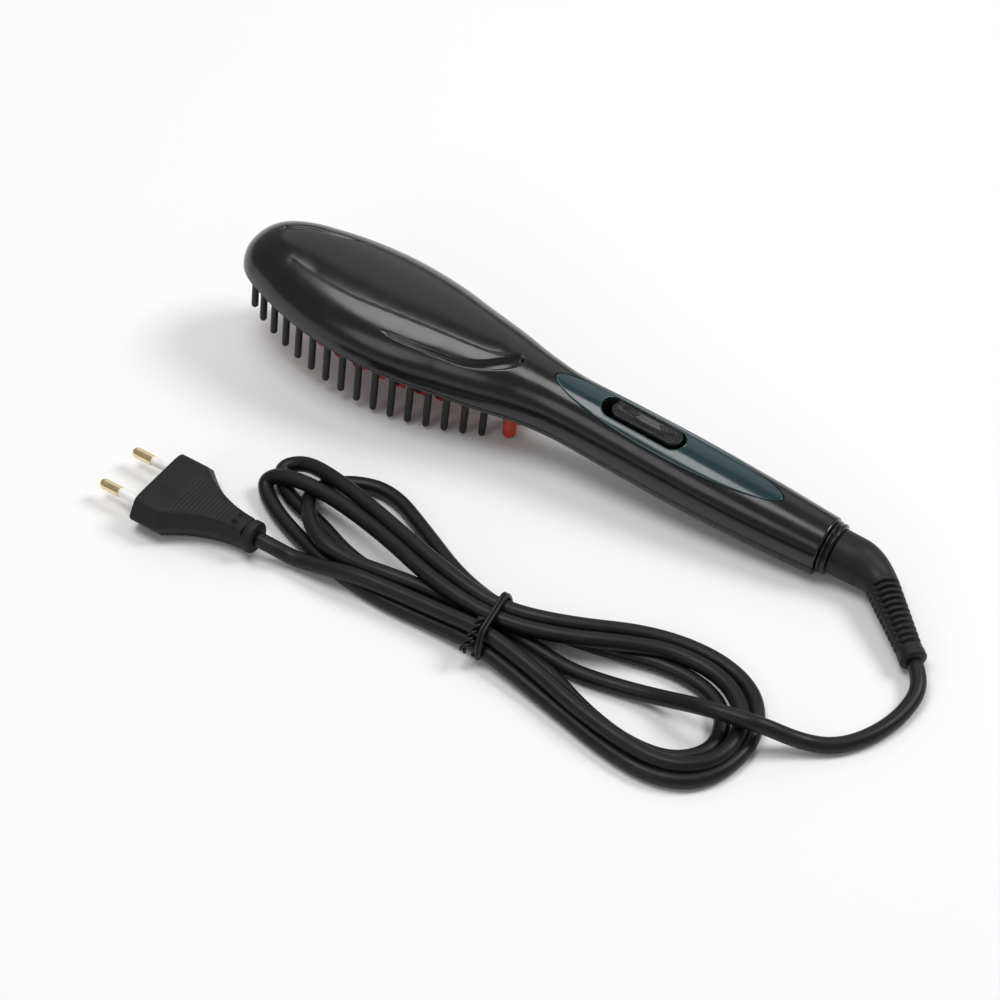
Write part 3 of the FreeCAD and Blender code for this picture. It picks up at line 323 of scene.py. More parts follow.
def side_arc(end_x, end_radius):
    """Radius and centre height of the arc that touches an end circle and the widest point."""
    run = end_x - HEAD_WIDEST
    radius = (run ** 2 + HEAD_HALF_WIDTH ** 2 - end_radius ** 2) / (2.0 * (HEAD_HALF_WIDTH - end_radius))
    return radius, HEAD_HALF_WIDTH - radius


NOSE_SIDE = side_arc(NOSE_RADIUS, NOSE_RADIUS)
NECK_SIDE = side_arc(END_CENTRE, HEAD_END_RADIUS)
NOSE_RUN = NOSE_RADIUS - HEAD_WIDEST
NOSE_TOUCH = NOSE_RADIUS + NOSE_RADIUS * NOSE_RUN / math.hypot(NOSE_RUN, NOSE_SIDE[1])


def egg_half_width(x):
    """Half width of the head at a station up to the neck."""
    if x < NOSE_TOUCH:
        return math.sqrt(max(NOSE_RADIUS ** 2 - (x - NOSE_RADIUS) ** 2, 0.0))
    radius, centre_y = NOSE_SIDE if x < HEAD_WIDEST else NECK_SIDE
    return centre_y + math.sqrt(radius ** 2 - (x - HEAD_WIDEST) ** 2)


def smooth(rows, column, x):
    """Value of one column at a station, on a smooth curve through the rows."""
    def slope(i):
        low, high = max(i - 1, 0), min(i + 1, len(rows) - 1)
        return (rows[high][column] - rows[low][column]) / (rows[high][0] - rows[low][0])

    i = 0
    while i < len(rows) - 2 and rows[i + 1][0] <= x:
        i += 1
    span = rows[i + 1][0] - rows[i][0]
    t = (x - rows[i][0]) / span
    a, b = rows[i][column], rows[i + 1][column]
    return (a * (1 + 2 * t) * (1 - t) ** 2 + b * t * t * (3 - 2 * t)
            + span * t * (1 - t) * (slope(i) * (1 - t) - slope(i + 1) * t))


ROWS = ([(NOSE_RISE_LENGTH, egg_half_width(NOSE_RISE_LENGTH), NOSE_HEIGHT)]
        + [(x, egg_half_width(x), top) for x, top in CROWN] + HANDLE)


def station(x):
    """Half width and top of the casing at a station."""
    if x < NOSE_RISE_LENGTH:
        return egg_half_width(x), NOSE_HEIGHT * math.sqrt(1.0 - (1.0 - x / NOSE_RISE_LENGTH) ** 2)
    return egg_half_width(x) if x <= NECK else smooth(ROWS, 1, x), smooth(ROWS, 2, x)


def section_point(half, top, t):
    """Half width and height of a section, from the parting line (0) to the crown (1)."""
    rest = 1.0 - t
    y = half * (rest ** 3 + 3 * t * rest ** 2 + 3 * t ** 2 * rest * TOP_FULLNESS)
    z = top * (3 * t * rest ** 2 * TOP_FULLNESS + 3 * t ** 2 * rest + t ** 3)
    return y, z


def section_share(half, top, y):
    """How far up a section a given half width lies."""
    low, high = 0.0, 1.0
    for _ in range(HALVINGS):
        middle = 0.5 * (low + high)
        if section_point(half, top, middle)[0] > y:
            low = middle
        else:
            high = middle
    return high


def skin_height(x, y):
    """Height of the plain casing over a point in plan."""
    half, top = station(x)
    return section_point(half, top, section_share(half, top, abs(y)))[1]


# Leaf-shaped dish and the two grooves: x, y, and for the grooves half width and depth
NEAR_EDGE = [
    (13.0, -0.8), (17.5, -6.6), (21.3, -8.9), (28.1, -10.4), (35.1, -11.4), (44.8, -12.3),
    (54.1, -12.4), (71.2, -10.8), (87.9, -8.8), (104.6, -6.6), (110.7, -4.6), (114.5, -2.0),
]
FAR_EDGE = [
    (13.0, -0.8), (17.1, 3.6), (22.7, 6.0), (29.4, 8.5), (36.8, 11.0), (45.9, 13.6),
    (54.8, 15.0), (62.4, 15.6), (72.0, 15.2), (85.0, 12.6), (100.0, 8.4), (114.5, -2.0),
]
HOOK = [
    (66.0, -17.9, 0.1, 0.1), (74.0, -17.75, 0.55, 0.6), (84.0, -16.6, 0.7, 0.85), (92.0, -15.5, 0.8, 0.95),
    (98.0, -14.4, 0.95, 1.1), (104.0, -12.7, 1.15, 1.3), (109.0, -10.3, 1.5, 1.5), (113.0, -7.6, 1.9, 1.7),
    (116.0, -4.9, 2.05, 1.8), (117.4, -2.7, 1.95, 1.8),
]
FAR_GROOVE = [
    (11.9, 3.2, 1.1, 0.8), (17.1, 5.4, 1.15, 0.9), (22.7, 7.7, 1.0, 0.9), (29.4, 10.2, 0.85, 0.8),
    (36.8, 12.6, 0.6, 0.55), (43.3, 14.9, 0.15, 0.1),
]
DISH_DEPTH = 0.9
DISH_FADE = 14.0
DISH_FULL_WIDTH = 8.0
NEAR_CREASE = 0.9
CREASE_SHARE = 0.3
GROOVE_STEPS = 90
GROOVE_REACH = 4.0
GROOVE_THINNEST = 0.05
GROOVE_EDGE = 1.15
GROOVE_SLOPE = 0.7


def groove_samples(rows):
    """Close points along a groove, with its half width and depth."""
    samples = []
    for i in range(GROOVE_STEPS + 1):
        x = rows[0][0] + (rows[-1][0] - rows[0][0]) * i / GROOVE_STEPS
        width, depth = max(smooth(rows, 2, x), GROOVE_THINNEST), max(smooth(rows, 3, x), 0.0)
        samples.append((x, smooth(rows, 1, x), width, depth))
    return samples


GROOVES = [groove_samples(HOOK), groove_samples(FAR_GROOVE)]


def groove_depth(x, y):
    """Depth of the deeper groove at a point in plan."""
    deepest = 0.0
    for samples in GROOVES:
        if not samples[0][0] - GROOVE_REACH < x < samples[-1][0] + GROOVE_REACH:
            continue
        ratio, depth = min((math.hypot(x - gx, y - gy) / width, deep) for gx, gy, width, deep in samples)
        deepest = max(deepest, depth * smoothstep((GROOVE_EDGE - ratio) / GROOVE_SLOPE))
    return deepest


def dish_depth(x, y):
    """Depth of the dish: a crisp crease on the near side, from which its floor rises to the far edge."""
    if not NEAR_EDGE[0][0] < x < NEAR_EDGE[-1][0]:
        return 0.0
    near, far = smooth(NEAR_EDGE, 1, x), smooth(FAR_EDGE, 1, x)
    if not near < y < far:
        return 0.0
    width = far - near
    crease = smoothstep((y - near) / min(NEAR_CREASE, CREASE_SHARE * width))
    fade = smoothstep((x - NEAR_EDGE[2][0]) / DISH_FADE)
    return DISH_DEPTH * fade * crease * ((far - y) / width) * smoothstep(width / DISH_FULL_WIDTH)


# Oval lens and the stadium-shaped recess for the rocker, in plan
LENS_START = 131.5
LENS_END = 225.0
LENS_HALF_WIDTH = 8.2
LENS_SEAM = 0.3
ROCKER_X = 169.5
ROCKER_LENGTH = 28.5
ROCKER_WIDTH = 7.2
ROCKER_PROUD = 0.4
BEZEL_GAP = 1.3
RECESS_EXTRA = 2.6
RECESS_EASE = 16.0


def oval_half_width(x, grow):
    """Half width of the lens's oval, widened by a margin."""
    share = (x - 0.5 * (LENS_START + LENS_END)) / (0.5 * (LENS_END - LENS_START) + grow)
    return (LENS_HALF_WIDTH + grow) * math.sqrt(max(1.0 - share ** 2, 0.0))


def lens_ring(share, grow):
    """Point in plan of the lens's outline."""
    a = math.tau * share
    return (0.5 * (LENS_START + LENS_END) + (0.5 * (LENS_END - LENS_START) + grow) * math.cos(a),
            (LENS_HALF_WIDTH + grow) * math.sin(a))


def stadium_half_width(x, grow):
    """Half width of the rocker's outline, widened by a margin."""
    r = 0.5 * ROCKER_WIDTH + grow
    past = max(abs(x - ROCKER_X) - 0.5 * (ROCKER_LENGTH - ROCKER_WIDTH), 0.0)
    return math.sqrt(max(r ** 2 - past ** 2, 0.0))


def stadium_ring(share, grow):
    """Point in plan of the rocker's outline."""
    r = 0.5 * ROCKER_WIDTH + grow
    run = ROCKER_LENGTH - ROCKER_WIDTH
    arc = math.pi * 0.5 * ROCKER_WIDTH
    along = share * 2.0 * (run + arc)
    if along < run:
        return ROCKER_X - 0.5 * run + along, -r
    if along < run + arc:
        a = math.pi * (along - run) / arc - 0.5 * math.pi
        return ROCKER_X + 0.5 * run + r * math.cos(a), r * math.sin(a)
    if along < 2.0 * run + arc:
        return ROCKER_X + 0.5 * run - (along - run - arc), r
    a = math.pi * (along - 2.0 * run - arc) / arc + 0.5 * math.pi
    return ROCKER_X - 0.5 * run + r * math.cos(a), r * math.sin(a)


def slot_half_width(x, grow):
    """Half width of the recess round the rocker, which is longer towards the head."""
    return stadium_half_width(x if x > ROCKER_X else min(x + RECESS_EXTRA, ROCKER_X), grow)


def slot_ring(share, grow):
    """Point in plan of the recess's outline."""
    x, y = stadium_ring(share, grow)
    return x - RECESS_EXTRA * (1.0 - smoothstep((x - ROCKER_X + 0.5 * RECESS_EASE) / RECESS_EASE)), y


# Walls and edges round the lens and the recess: margin to the outline and height over the casing
SEAM_WALL = [(LENS_SEAM + 0.25, -0.35), (LENS_SEAM, -0.9), (-0.6, -1.0)]
RECESS_WALL = [
    (BEZEL_GAP + 0.4, -0.5),
    (BEZEL_GAP - 0.05, -0.9),
    (BEZEL_GAP - 0.35, -2.0),
    (0.6, -2.5),
    (0.4, -5.5),
]
LENS_EDGE = [(0.0, -0.9), (-0.03, -0.25), (-0.2, -0.06), (-0.45, 0.0)]
SLOT_LIP = [
    (BEZEL_GAP + 0.55, 0.0),
    (BEZEL_GAP + 0.4, 0.1),
    (BEZEL_GAP + 0.15, 0.08),
    (BEZEL_GAP + 0.02, -0.1),
    (BEZEL_GAP, -1.2),
]
SEAM_POINTS = 200
LENS_EDGE_POINTS = 220
SLOT_POINTS = 160


def add_strip(verts, faces, ring, profile, count):
    """Adds a closed strip round an outline: each profile row is a margin and a height over the casing."""
    first = len(verts)
    for grow, lift in profile:
        for i in range(count):
            x, y = ring(i / count, grow)
            verts.append((x, y, skin_height(x, y) + lift))
    faces += grid_faces(len(profile), count, first, closed=True)


def split_faces(xs, half_columns, start, end):
    """Quads of a skin whose two halves aren't joined at the stations from a start to an end."""
    columns = 2 * (half_columns + 1)
    faces = []
    for i, x in enumerate(xs[:-1]):
        for k in range(columns - 1):
            if k == half_columns and start <= x < end:
                continue
            a = i * columns + k
            faces.append((a, a + 1, a + 1 + columns, a + columns))
    return faces


def even_stations(start, end, step):
    """Stations spaced evenly, without the end."""
    count = max(int(round((end - start) / step)), 1)
    return [start + (end - start) * i / count for i in range(count)]


def round_stations(start, end, count):
    """Stations crowded towards both ends, as a round outline needs, without the end."""
    mid, half = 0.5 * (start + end), 0.5 * (end - start)
    return [mid - half * math.cos(math.pi * i / count) for i in range(count)]


# Casing skin and lens
SKIN_STEP = 0.55
SKIN_COLUMNS = 84
NOSE_STEP = math.radians(2.0)
NOSE_STATIONS = 44
HOLE_STATIONS = 130
LENS_COLUMNS = 16
LENS_STATIONS = 110
SLOT_STATIONS = 90
PARTING = 0.45
TAIL_LIP = [(0.97, 0.25), (0.9, 0.3), (0.72, 0.3)]


def add_casing(mat):
    """Upper shell: its outer skin with the dish and grooves, and the recess that the rocker sits in."""
    xs = [NOSE_RADIUS * (1.0 - math.cos(NOSE_STEP * i)) for i in range(1, NOSE_STATIONS + 1)]
    hole_start, hole_end = LENS_START - LENS_SEAM, LENS_END + LENS_SEAM
    xs += even_stations(NOSE_RADIUS, hole_start, SKIN_STEP)
    xs += round_stations(hole_start, hole_end, HOLE_STATIONS)
    xs += even_stations(hole_end, TAIL, SKIN_STEP) + [TAIL]
    verts, last = [], []
    for x in xs:
        half, top = station(x)
        hole = oval_half_width(x, LENS_SEAM)
        edge = section_share(half, top, hole) if hole else 1.0
        shares = [edge * k / SKIN_COLUMNS for k in range(SKIN_COLUMNS + 1)]
        last = []
        for side, order in ((-1, shares), (1, reversed(shares))):
            for t in order:
                y, z = section_point(half, top, t)
                if t == 0.0:
                    y = max(y - PARTING, 0.0)
                last.append((x, side * y, z - dish_depth(x, side * y) - groove_depth(x, side * y)))
        verts += last
    for scale, shift in TAIL_LIP:
        verts += [(x + shift, y * scale, SWIVEL_Z + (z - SWIVEL_Z) * scale) for x, y, z in last]
    faces = split_faces(xs + [TAIL] * len(TAIL_LIP), SKIN_COLUMNS, hole_start, hole_end)
    add_strip(verts, faces, lens_ring, SEAM_WALL, SEAM_POINTS)
    add_strip(verts, faces, slot_ring, RECESS_WALL, SLOT_POINTS)
    piece = mesh_piece("casing_skin", [on_table(*v) for v in verts], faces, mat, merge=SAME_VERTEX)
    stand_in(piece, "brush", "casing_black", "upper_shell")


def add_lens(mat):
    """Smoked lens: the band between its oval edge and the rocker's recess, with rounded edges."""
    inset = LENS_EDGE[-1][0]
    lip = SLOT_LIP[0][0]
    start, end = LENS_START - inset, LENS_END + inset
    slot_start = ROCKER_X - 0.5 * ROCKER_LENGTH - lip - RECESS_EXTRA
    slot_end = ROCKER_X + 0.5 * ROCKER_LENGTH + lip
    xs = [x for x in round_stations(start, end, LENS_STATIONS) if not slot_start < x < slot_end]
    xs = sorted(xs + round_stations(slot_start, slot_end, SLOT_STATIONS) + [slot_end, end])
    verts = []
    for x in xs:
        half, top = station(x)
        outer = section_share(half, top, oval_half_width(x, inset))
        slot = slot_half_width(x, lip)
        inner = section_share(half, top, slot) if slot else 1.0
        shares = [outer + (inner - outer) * k / LENS_COLUMNS for k in range(LENS_COLUMNS + 1)]
        for side, order in ((-1, shares), (1, reversed(shares))):
            for t in order:
                y, z = section_point(half, top, t)
                verts.append((x, side * y, z))
    faces = split_faces(xs, LENS_COLUMNS, slot_start, slot_end)
    add_strip(verts, faces, lens_ring, LENS_EDGE, LENS_EDGE_POINTS)
    add_strip(verts, faces, slot_ring, SLOT_LIP, SLOT_POINTS)
    piece = mesh_piece("lens_skin", [on_table(*v) for v in verts], faces, mat, merge=SAME_VERTEX)
    stand_in(piece, "brush", "smoked_lens", "control_lens")


# Rocker button: wall rows are a margin and a height over its rim
ROCKER_WALL = [(0.0, -5.0), (0.0, -0.8), (-0.1, -0.3), (-0.3, -0.05), (-0.5, 0.0), (-0.7, -0.05)]
ROCKER_POINTS = 400
BOWL_RINGS = 44
BOWL_DEPTH = 1.1
BOWL_SIDE = 2.9
BOWL_END = 1.0
BOWL_LIP = 0.06
BOWL_MIDDLE = 0.02
RIB_CENTRE = 4.0
RIB_PITCH = 0.95
RIB_FIRST = 1.4
RIB_LAST = 8.6
RIB_RISE = 0.13
RIB_FADE = 0.4
RIB_SIDE_FADE = 0.5
RIB_BACK_FADE = 1.5
RIB_BACK = 0.3


def bowl_height(x, y, inward):
    """Height of the rocker's dished top below its rim, with raised arcs towards both ends."""
    share = (x - ROCKER_X) / (0.5 * ROCKER_LENGTH - BOWL_END)
    dish = BOWL_DEPTH * max(1.0 - share ** 2, 0.0) * smoothstep(inward / BOWL_SIDE) + BOWL_LIP
    end = math.copysign(1.0, x - ROCKER_X)
    reach = math.hypot(x - ROCKER_X - end * RIB_CENTRE, y)
    outward = smoothstep((x - ROCKER_X - end * RIB_CENTRE) * end / RIB_BACK_FADE + RIB_BACK)
    within = smoothstep((reach - RIB_FIRST) / RIB_FADE) * smoothstep((RIB_LAST - reach) / RIB_FADE)
    within *= smoothstep(inward / RIB_SIDE_FADE)
    wave = 0.5 + 0.5 * math.cos(math.tau * reach / RIB_PITCH)
    return RIB_RISE * wave * outward * within - dish


def add_rocker(mat):
    """Rocker button with a dished top, its rim and the raised arcs."""
    top = station(ROCKER_X)[1] + ROCKER_PROUD
    shares = [i / ROCKER_POINTS for i in range(ROCKER_POINTS)]
    verts = []
    for grow, lift in ROCKER_WALL:
        verts += [(*stadium_ring(share, grow), top + lift) for share in shares]
    first = ROCKER_WALL[-1][0]
    deepest = -0.5 * ROCKER_WIDTH + BOWL_MIDDLE
    for ring in range(1, BOWL_RINGS + 1):
        grow = first + (deepest - first) * ring / BOWL_RINGS
        for share in shares:
            x, y = stadium_ring(share, grow)
            verts.append((x, y, top + bowl_height(x, y, first - grow)))
    faces = grid_faces(len(ROCKER_WALL) + BOWL_RINGS, ROCKER_POINTS, closed=True)
    faces.append(tuple(reversed(range(ROCKER_POINTS))))
    piece = mesh_piece("rocker_cap", [on_table(*v) for v in verts], faces, mat)
    stand_in(piece, "rocker", "button_black", "rocker_button")


# Swivel ring: distance past the tail and radius
RING_PROFILE = [
    (0.1, 5.0), (0.1, 8.7), (0.6, 8.8), (0.7, 9.6), (0.9, 9.85), (1.5, 9.85), (1.75, 9.6), (1.8, 8.9),
    (2.3, 8.85), (2.4, 9.5), (2.7, 9.75), (3.5, 9.75), (3.85, 9.4), (3.95, 8.3), (4.0, 5.0),
]
RING_SIDES = 96


def add_ring(mat):
    """Swivel ring at the tail: two thin flanges with a groove between them."""
    verts = []
    for shift, radius in RING_PROFILE:
        for k in range(RING_SIDES):
            a = math.tau * k / RING_SIDES
            verts.append(on_table(TAIL + shift, radius * math.cos(a), SWIVEL_Z + radius * math.sin(a)))
    faces = grid_faces(len(RING_PROFILE), RING_SIDES, closed=True)
    piece = mesh_piece("swivel_collar", verts, faces, mat)
    stand_in(piece, "swivel", "ring_black", "swivel_ring")


# Elbow boot: a straight root, a bend, and a ribbed sleeve that ends in a flange
BOOT_START = TAIL + RING_PROFILE[-1][0]
BOOT_STRAIGHT = 7.5
BOOT_BEND = 20.0
BOOT_ANGLE = math.radians(43.0)
BOOT_ROOT_RADIUS = 8.4
BOOT_BEND_RADIUS = 6.2
BOOT_END_RADIUS = 4.7
BOOT_RIBS = 11
BOOT_RIB_PITCH = 2.5
BOOT_SIDES = 72
STRAIGHT_STEPS = 9
BEND_STEPS = 25
RIB_STEPS = 12
FLANGE_STEPS = 24
SLOT_DEPTH = 1.5
SLOT_BIAS = 0.55
SLOT_STEEPNESS = 1.5
SLOT_MARGIN = 0.4
SLOT_FADE = 0.5
SPINE_ANGLE = math.radians(205.0)
SPINE_HALF = math.radians(11.0)
SPINE_FADE = 0.12
SLEEVE_END = (BOOT_RIBS + 0.5) * BOOT_RIB_PITCH
FLANGE_RADIUS = 4.95
FLANGE_LENGTH = 3.6
FLANGE_STEP = 0.8
FLANGE_ROUND = 0.8
FLANGE_ROUND_LENGTH = 0.9


def boot_line():
    """Points along the boot's middle, each with its distance along the sleeve, negative before it."""
    line = []
    bend = BOOT_BEND * BOOT_ANGLE
    for i in range(STRAIGHT_STEPS):
        run = BOOT_STRAIGHT * i / STRAIGHT_STEPS
        line.append(((BOOT_START + run, 0.0, SWIVEL_Z), run - BOOT_STRAIGHT - bend))
    bend_start = BOOT_START + BOOT_STRAIGHT
    for i in range(BEND_STEPS):
        a = BOOT_ANGLE * i / BEND_STEPS
        x, y = bend_start + BOOT_BEND * math.sin(a), -BOOT_BEND * (1.0 - math.cos(a))
        line.append(((x, y, SWIVEL_Z), BOOT_BEND * (a - BOOT_ANGLE)))
    start_x = bend_start + BOOT_BEND * math.sin(BOOT_ANGLE)
    start_y = -BOOT_BEND * (1.0 - math.cos(BOOT_ANGLE))
    count = RIB_STEPS * BOOT_RIBS + FLANGE_STEPS
    for i in range(count + 1):
        s = (SLEEVE_END + FLANGE_LENGTH) * i / count
        x, y = start_x + s * math.cos(BOOT_ANGLE), start_y - s * math.sin(BOOT_ANGLE)
        line.append(((x, y, SWIVEL_Z), s))
    return line


def boot_radius(s, angle):
    """Radius of the boot at a distance along its sleeve and an angle round it."""
    if s < 0.0:
        rise = smoothstep(-s / (BOOT_BEND * BOOT_ANGLE))
        return BOOT_BEND_RADIUS + (BOOT_ROOT_RADIUS - BOOT_BEND_RADIUS) * rise
    radius = BOOT_BEND_RADIUS + (BOOT_END_RADIUS - BOOT_BEND_RADIUS) * min(s / SLEEVE_END, 1.0)
    into_flange = s - SLEEVE_END + 0.5 * FLANGE_STEP
    if into_flange > 0.0:
        rim = FLANGE_ROUND * (1.0 - smoothstep((SLEEVE_END + FLANGE_LENGTH - s) / FLANGE_ROUND_LENGTH))
        return radius + (FLANGE_RADIUS - radius) * smoothstep(into_flange / FLANGE_STEP) - rim
    away = abs((angle - SPINE_ANGLE + 0.5 * math.pi) % math.pi - 0.5 * math.pi)
    wave = smoothstep(SLOT_BIAS - SLOT_STEEPNESS * math.cos(math.tau * s / BOOT_RIB_PITCH))
    ribbed = BOOT_RIBS * BOOT_RIB_PITCH
    inside = smoothstep((s - SLOT_MARGIN) / SLOT_FADE) * smoothstep((ribbed - s) / SLOT_FADE)
    return radius - SLOT_DEPTH * wave * inside * smoothstep((away - SPINE_HALF) / SPINE_FADE)


def add_boot(mat):
    """Elbow boot whose sleeve has slots on two sides and a smooth spine between them."""
    line = boot_line()
    points = [on_table(*p) for p, _ in line]
    verts, faces = sweep(points, lambda i, a: boot_radius(line[i][1], a) * MM, BOOT_SIDES,
                         up=Vector((0.0, 0.0, 1.0)))
    piece = mesh_piece("elbow_boot", verts, faces, mat)
    stand_in(piece, "swivel", "cord_rubber", "strain_relief")


# Mains cord in millimetres: lead, hank and tail on one line, whose points are x, y and lift off the table
CORD_RADIUS = 2.85
CORD_SIDES = 24
CORD_Z = 2.9
CORD_EXIT = (167.641, -27.436, 5.382)
CORD_HEADING = (0.7272, -0.6820, -0.0777)
LINE_STEPS = 8
LEAD_RUN = 9.0
LEAD = [
    (174.3, -48.0, 0.0),
    (169.1, -62.6, 0.0),
    (161.0, -72.5, 0.0),
    (150.8, -77.5, 1.5),
    (139.0, -84.0, 9.4),
    (128.5, -86.0, 9.6),
    (118.5, -87.0, 8.6),
    (103.5, -86.0, 2.2),
    (90.5, -87.5, 0.0),
    (76.5, -90.0, 0.0),
    (67.5, -90.5, 0.0),
    (56.8, -89.5, 0.6),
    (38.5, -87.7, 2.3),
]
TAIL_ROUTE = [
    (20.0, -95.8, 5.6),
    (0.0, -96.2, 5.2),
    (-15.0, -97.4, 5.5),
    (-29.0, -98.8, 2.6),
    (-39.5, -98.8, 0.8),
]
PLUG_END = (-53.3, -100.2, 6.85)
PLUG_TURN = math.radians(178.0)
PLUG_RUN = 6.0

# The three turns of the hank, each from the tie round the left loop, past the tie and round the right loop
TURNS = [
    [(24.0, -87.4, 0.9), (10.0, -88.8, 4.4), (-3.0, -91.3, 6.0), (-20.0, -92.5, 4.8), (-33.5, -91.0, 6.0),
     (-45.0, -81.5, 5.2), (-52.5, -68.0, 0.6), (-43.5, -57.0, 0.0), (-27.5, -53.0, 0.0), (-6.5, -63.5, 0.0),
     (15.5, -75.5, 0.6), (38.5, -82.0, 2.3), (55.0, -79.5, 0.6), (75.5, -76.2, 0.0), (100.5, -70.5, 0.0),
     (121.5, -76.0, 0.0), (128.5, -93.5, 0.0), (119.5, -105.8, 0.0), (102.5, -108.2, 0.0),
     (82.5, -103.4, 0.0), (65.0, -96.0, 0.8), (52.0, -94.2, 1.2), (38.5, -93.4, 2.3)],
    [(22.0, -92.6, 0.5), (9.0, -92.2, 0.0), (-5.0, -89.8, 0.0), (-23.5, -87.3, 0.0), (-41.0, -79.5, 0.0),
     (-52.0, -76.7, 0.2), (-60.5, -73.0, 0.6), (-68.0, -65.5, 1.2), (-61.0, -60.0, 3.0), (-48.0, -63.0, 6.5),
     (-28.5, -68.5, 8.2), (-1.5, -77.2, 9.0), (21.0, -83.5, 8.8), (38.5, -84.8, 7.2), (61.0, -78.5, 6.8),
     (87.0, -63.3, 3.0), (111.5, -59.3, 0.0), (130.5, -67.8, 0.0), (138.0, -87.5, 0.0), (132.0, -108.0, 0.0),
     (117.5, -115.5, 0.0), (99.0, -114.2, 0.0), (72.0, -107.0, 0.0), (38.5, -99.1, 2.3)],
    [(19.0, -98.0, 0.3), (0.0, -98.5, 0.0), (-19.0, -96.5, 0.0), (-40.5, -90.5, 0.2), (-58.0, -83.0, 0.0),
     (-69.5, -74.5, 1.0), (-62.5, -71.5, 6.4), (-43.0, -71.5, 7.4), (-14.5, -77.8, 7.6), (11.0, -87.2, 8.6),
     (38.5, -90.5, 7.2), (62.5, -84.0, 6.8), (80.0, -75.3, 6.0), (96.5, -67.0, 3.5), (117.3, -68.0, 3.0),
     (131.0, -79.5, 3.2), (133.5, -94.0, 3.0), (128.5, -105.0, 2.8), (117.0, -111.0, 3.0),
     (102.0, -110.8, 4.2), (82.0, -107.0, 4.8), (60.0, -100.0, 5.0), (38.5, -96.2, 7.2)],
]


def plug_heading():
    """Direction from the cord's end to the plug's face."""
    return Vector((math.cos(PLUG_TURN), math.sin(PLUG_TURN), 0.0))


def cord_route():
    """Control points of the whole cord, from the boot to the plug."""
    exit_point = Vector(CORD_EXIT)
    route = [exit_point, exit_point + Vector(CORD_HEADING) * LEAD_RUN]
    for rows in [LEAD] + TURNS + [TAIL_ROUTE]:
        route += [Vector((x, y, CORD_Z + lift)) for x, y, lift in rows]
    end = Vector(PLUG_END)
    return [p * MM for p in route + [end - plug_heading() * PLUG_RUN, end]]


def add_cord(mat):
    """Cord as a tube along its route's smooth line."""
    line = spline_points(cord_route(), LINE_STEPS)
    verts, faces = sweep(line, lambda i, a: CORD_RADIUS * MM, CORD_SIDES)
    piece = mesh_piece("cord", verts, faces, mat)
    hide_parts("cord_lead", "cord_hank", "cord_tail")
    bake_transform(piece)


# Twisted tie round the hank's waist: corners as distance across and height
TIE_RADIUS = 0.65
TIE_SIDES = 14
TIE_CENTRE = (38.5, -90.5)
TIE_SLANT = -0.1
TIE_CORNERS = [
    (-13.4, 5.2), (-11.8, 1.2), (0.0, 1.2), (11.8, 1.2), (13.4, 5.2),
    (11.8, 10.5), (9.2, 14.6), (0.0, 14.3), (-9.2, 14.6), (-11.8, 10.5),
]
TIE_TURNS = 2
TIE_PITCH = 1.3
TWIST_START = (-2.0, -5.0, 15.2)
TWIST_RUN = (-2.0, -11.0, -7.0)
TWIST_TURNS = 2.5
TWIST_RADIUS = 0.8
TWIST_STEPS = 40
TWIST_SIDES = 12


def tie_point(along, across, height):
    """Place on the table, in metres, of a point of the tie."""
    return Vector((TIE_CENTRE[0] + along + TIE_SLANT * across, TIE_CENTRE[1] + across, height)) * MM


def add_tie(mat):
    """Wire tie: two turns round the cord and a short twisted pair of ends."""
    points = []
    total = len(TIE_CORNERS) * TIE_TURNS
    for i in range(total + 1):
        across, height = TIE_CORNERS[i % len(TIE_CORNERS)]
        points.append(tie_point(TIE_PITCH * (2.0 * i / total - 1.0), across, height))
    verts, faces = sweep(spline_points(points, LINE_STEPS), lambda i, a: TIE_RADIUS * MM, TIE_SIDES)
    for phase in (0.0, math.pi):
        ends = []
        for i in range(TWIST_STEPS + 1):
            share = i / TWIST_STEPS
            turn = phase + math.tau * TWIST_TURNS * share
            spot = tie_point(*[start + run * share for start, run in zip(TWIST_START, TWIST_RUN)])
            ends.append(spot + Vector((math.cos(turn), 0.0, math.sin(turn))) * TWIST_RADIUS * MM)
        first = len(verts)
        more_verts, more_faces = sweep(ends, lambda i, a: TIE_RADIUS * MM, TWIST_SIDES)
        verts += more_verts
        faces += [tuple(v + first for v in face) for face in more_faces]
    piece = mesh_piece("wire_tie", verts, faces, mat)
    stand_in(piece, "brush", "tie_black", "cord_tie")
    return piece


# Two-pin plug
PLUG_FACE = 44.0
PLUG_SHOULDER = 32.5
PLUG_HALF_WIDTH = 17.65
PLUG_FLAT = 13.05
PLUG_HALF_THICK = 6.85
PLUG_NECK = 5.2
PLUG_CORNER = 0.16
PLUG_STEP = 0.25
CORNER_STEPS = 4
EDGE_STEPS = 8
FLAT_STEPS = 40
RIDGE_PITCH = 1.5
RIDGE_DEPTH = 0.22
RIDGE_BIAS = 0.5
RIDGES_START = 11.0
RIDGES_FADE_IN = 1.0
RIDGES_FADE_OUT = 2.0
WINDOW_ALONG = (7.6, 9.6)
WINDOW_ACROSS = (0.7, 2.9)
WINDOW_DEPTH = 1.4

# Flat sides of the plug: where they begin and how soon, as shares of the half thickness
FLAT_FROM = 0.7
FLAT_FADE = 0.2

# Rounded edge of the plug's face: distance before the face and inset, up to a share of the half thickness
FACE_ROUND = 0.8
FACE_EDGE = [(0.5, 0.12), (0.2, 0.35), (0.0, FACE_ROUND), (0.0, 8.0)]
MOST_INSET = 0.8
FLAT_INSET = 0.6
LEAST_FLAT = 0.2

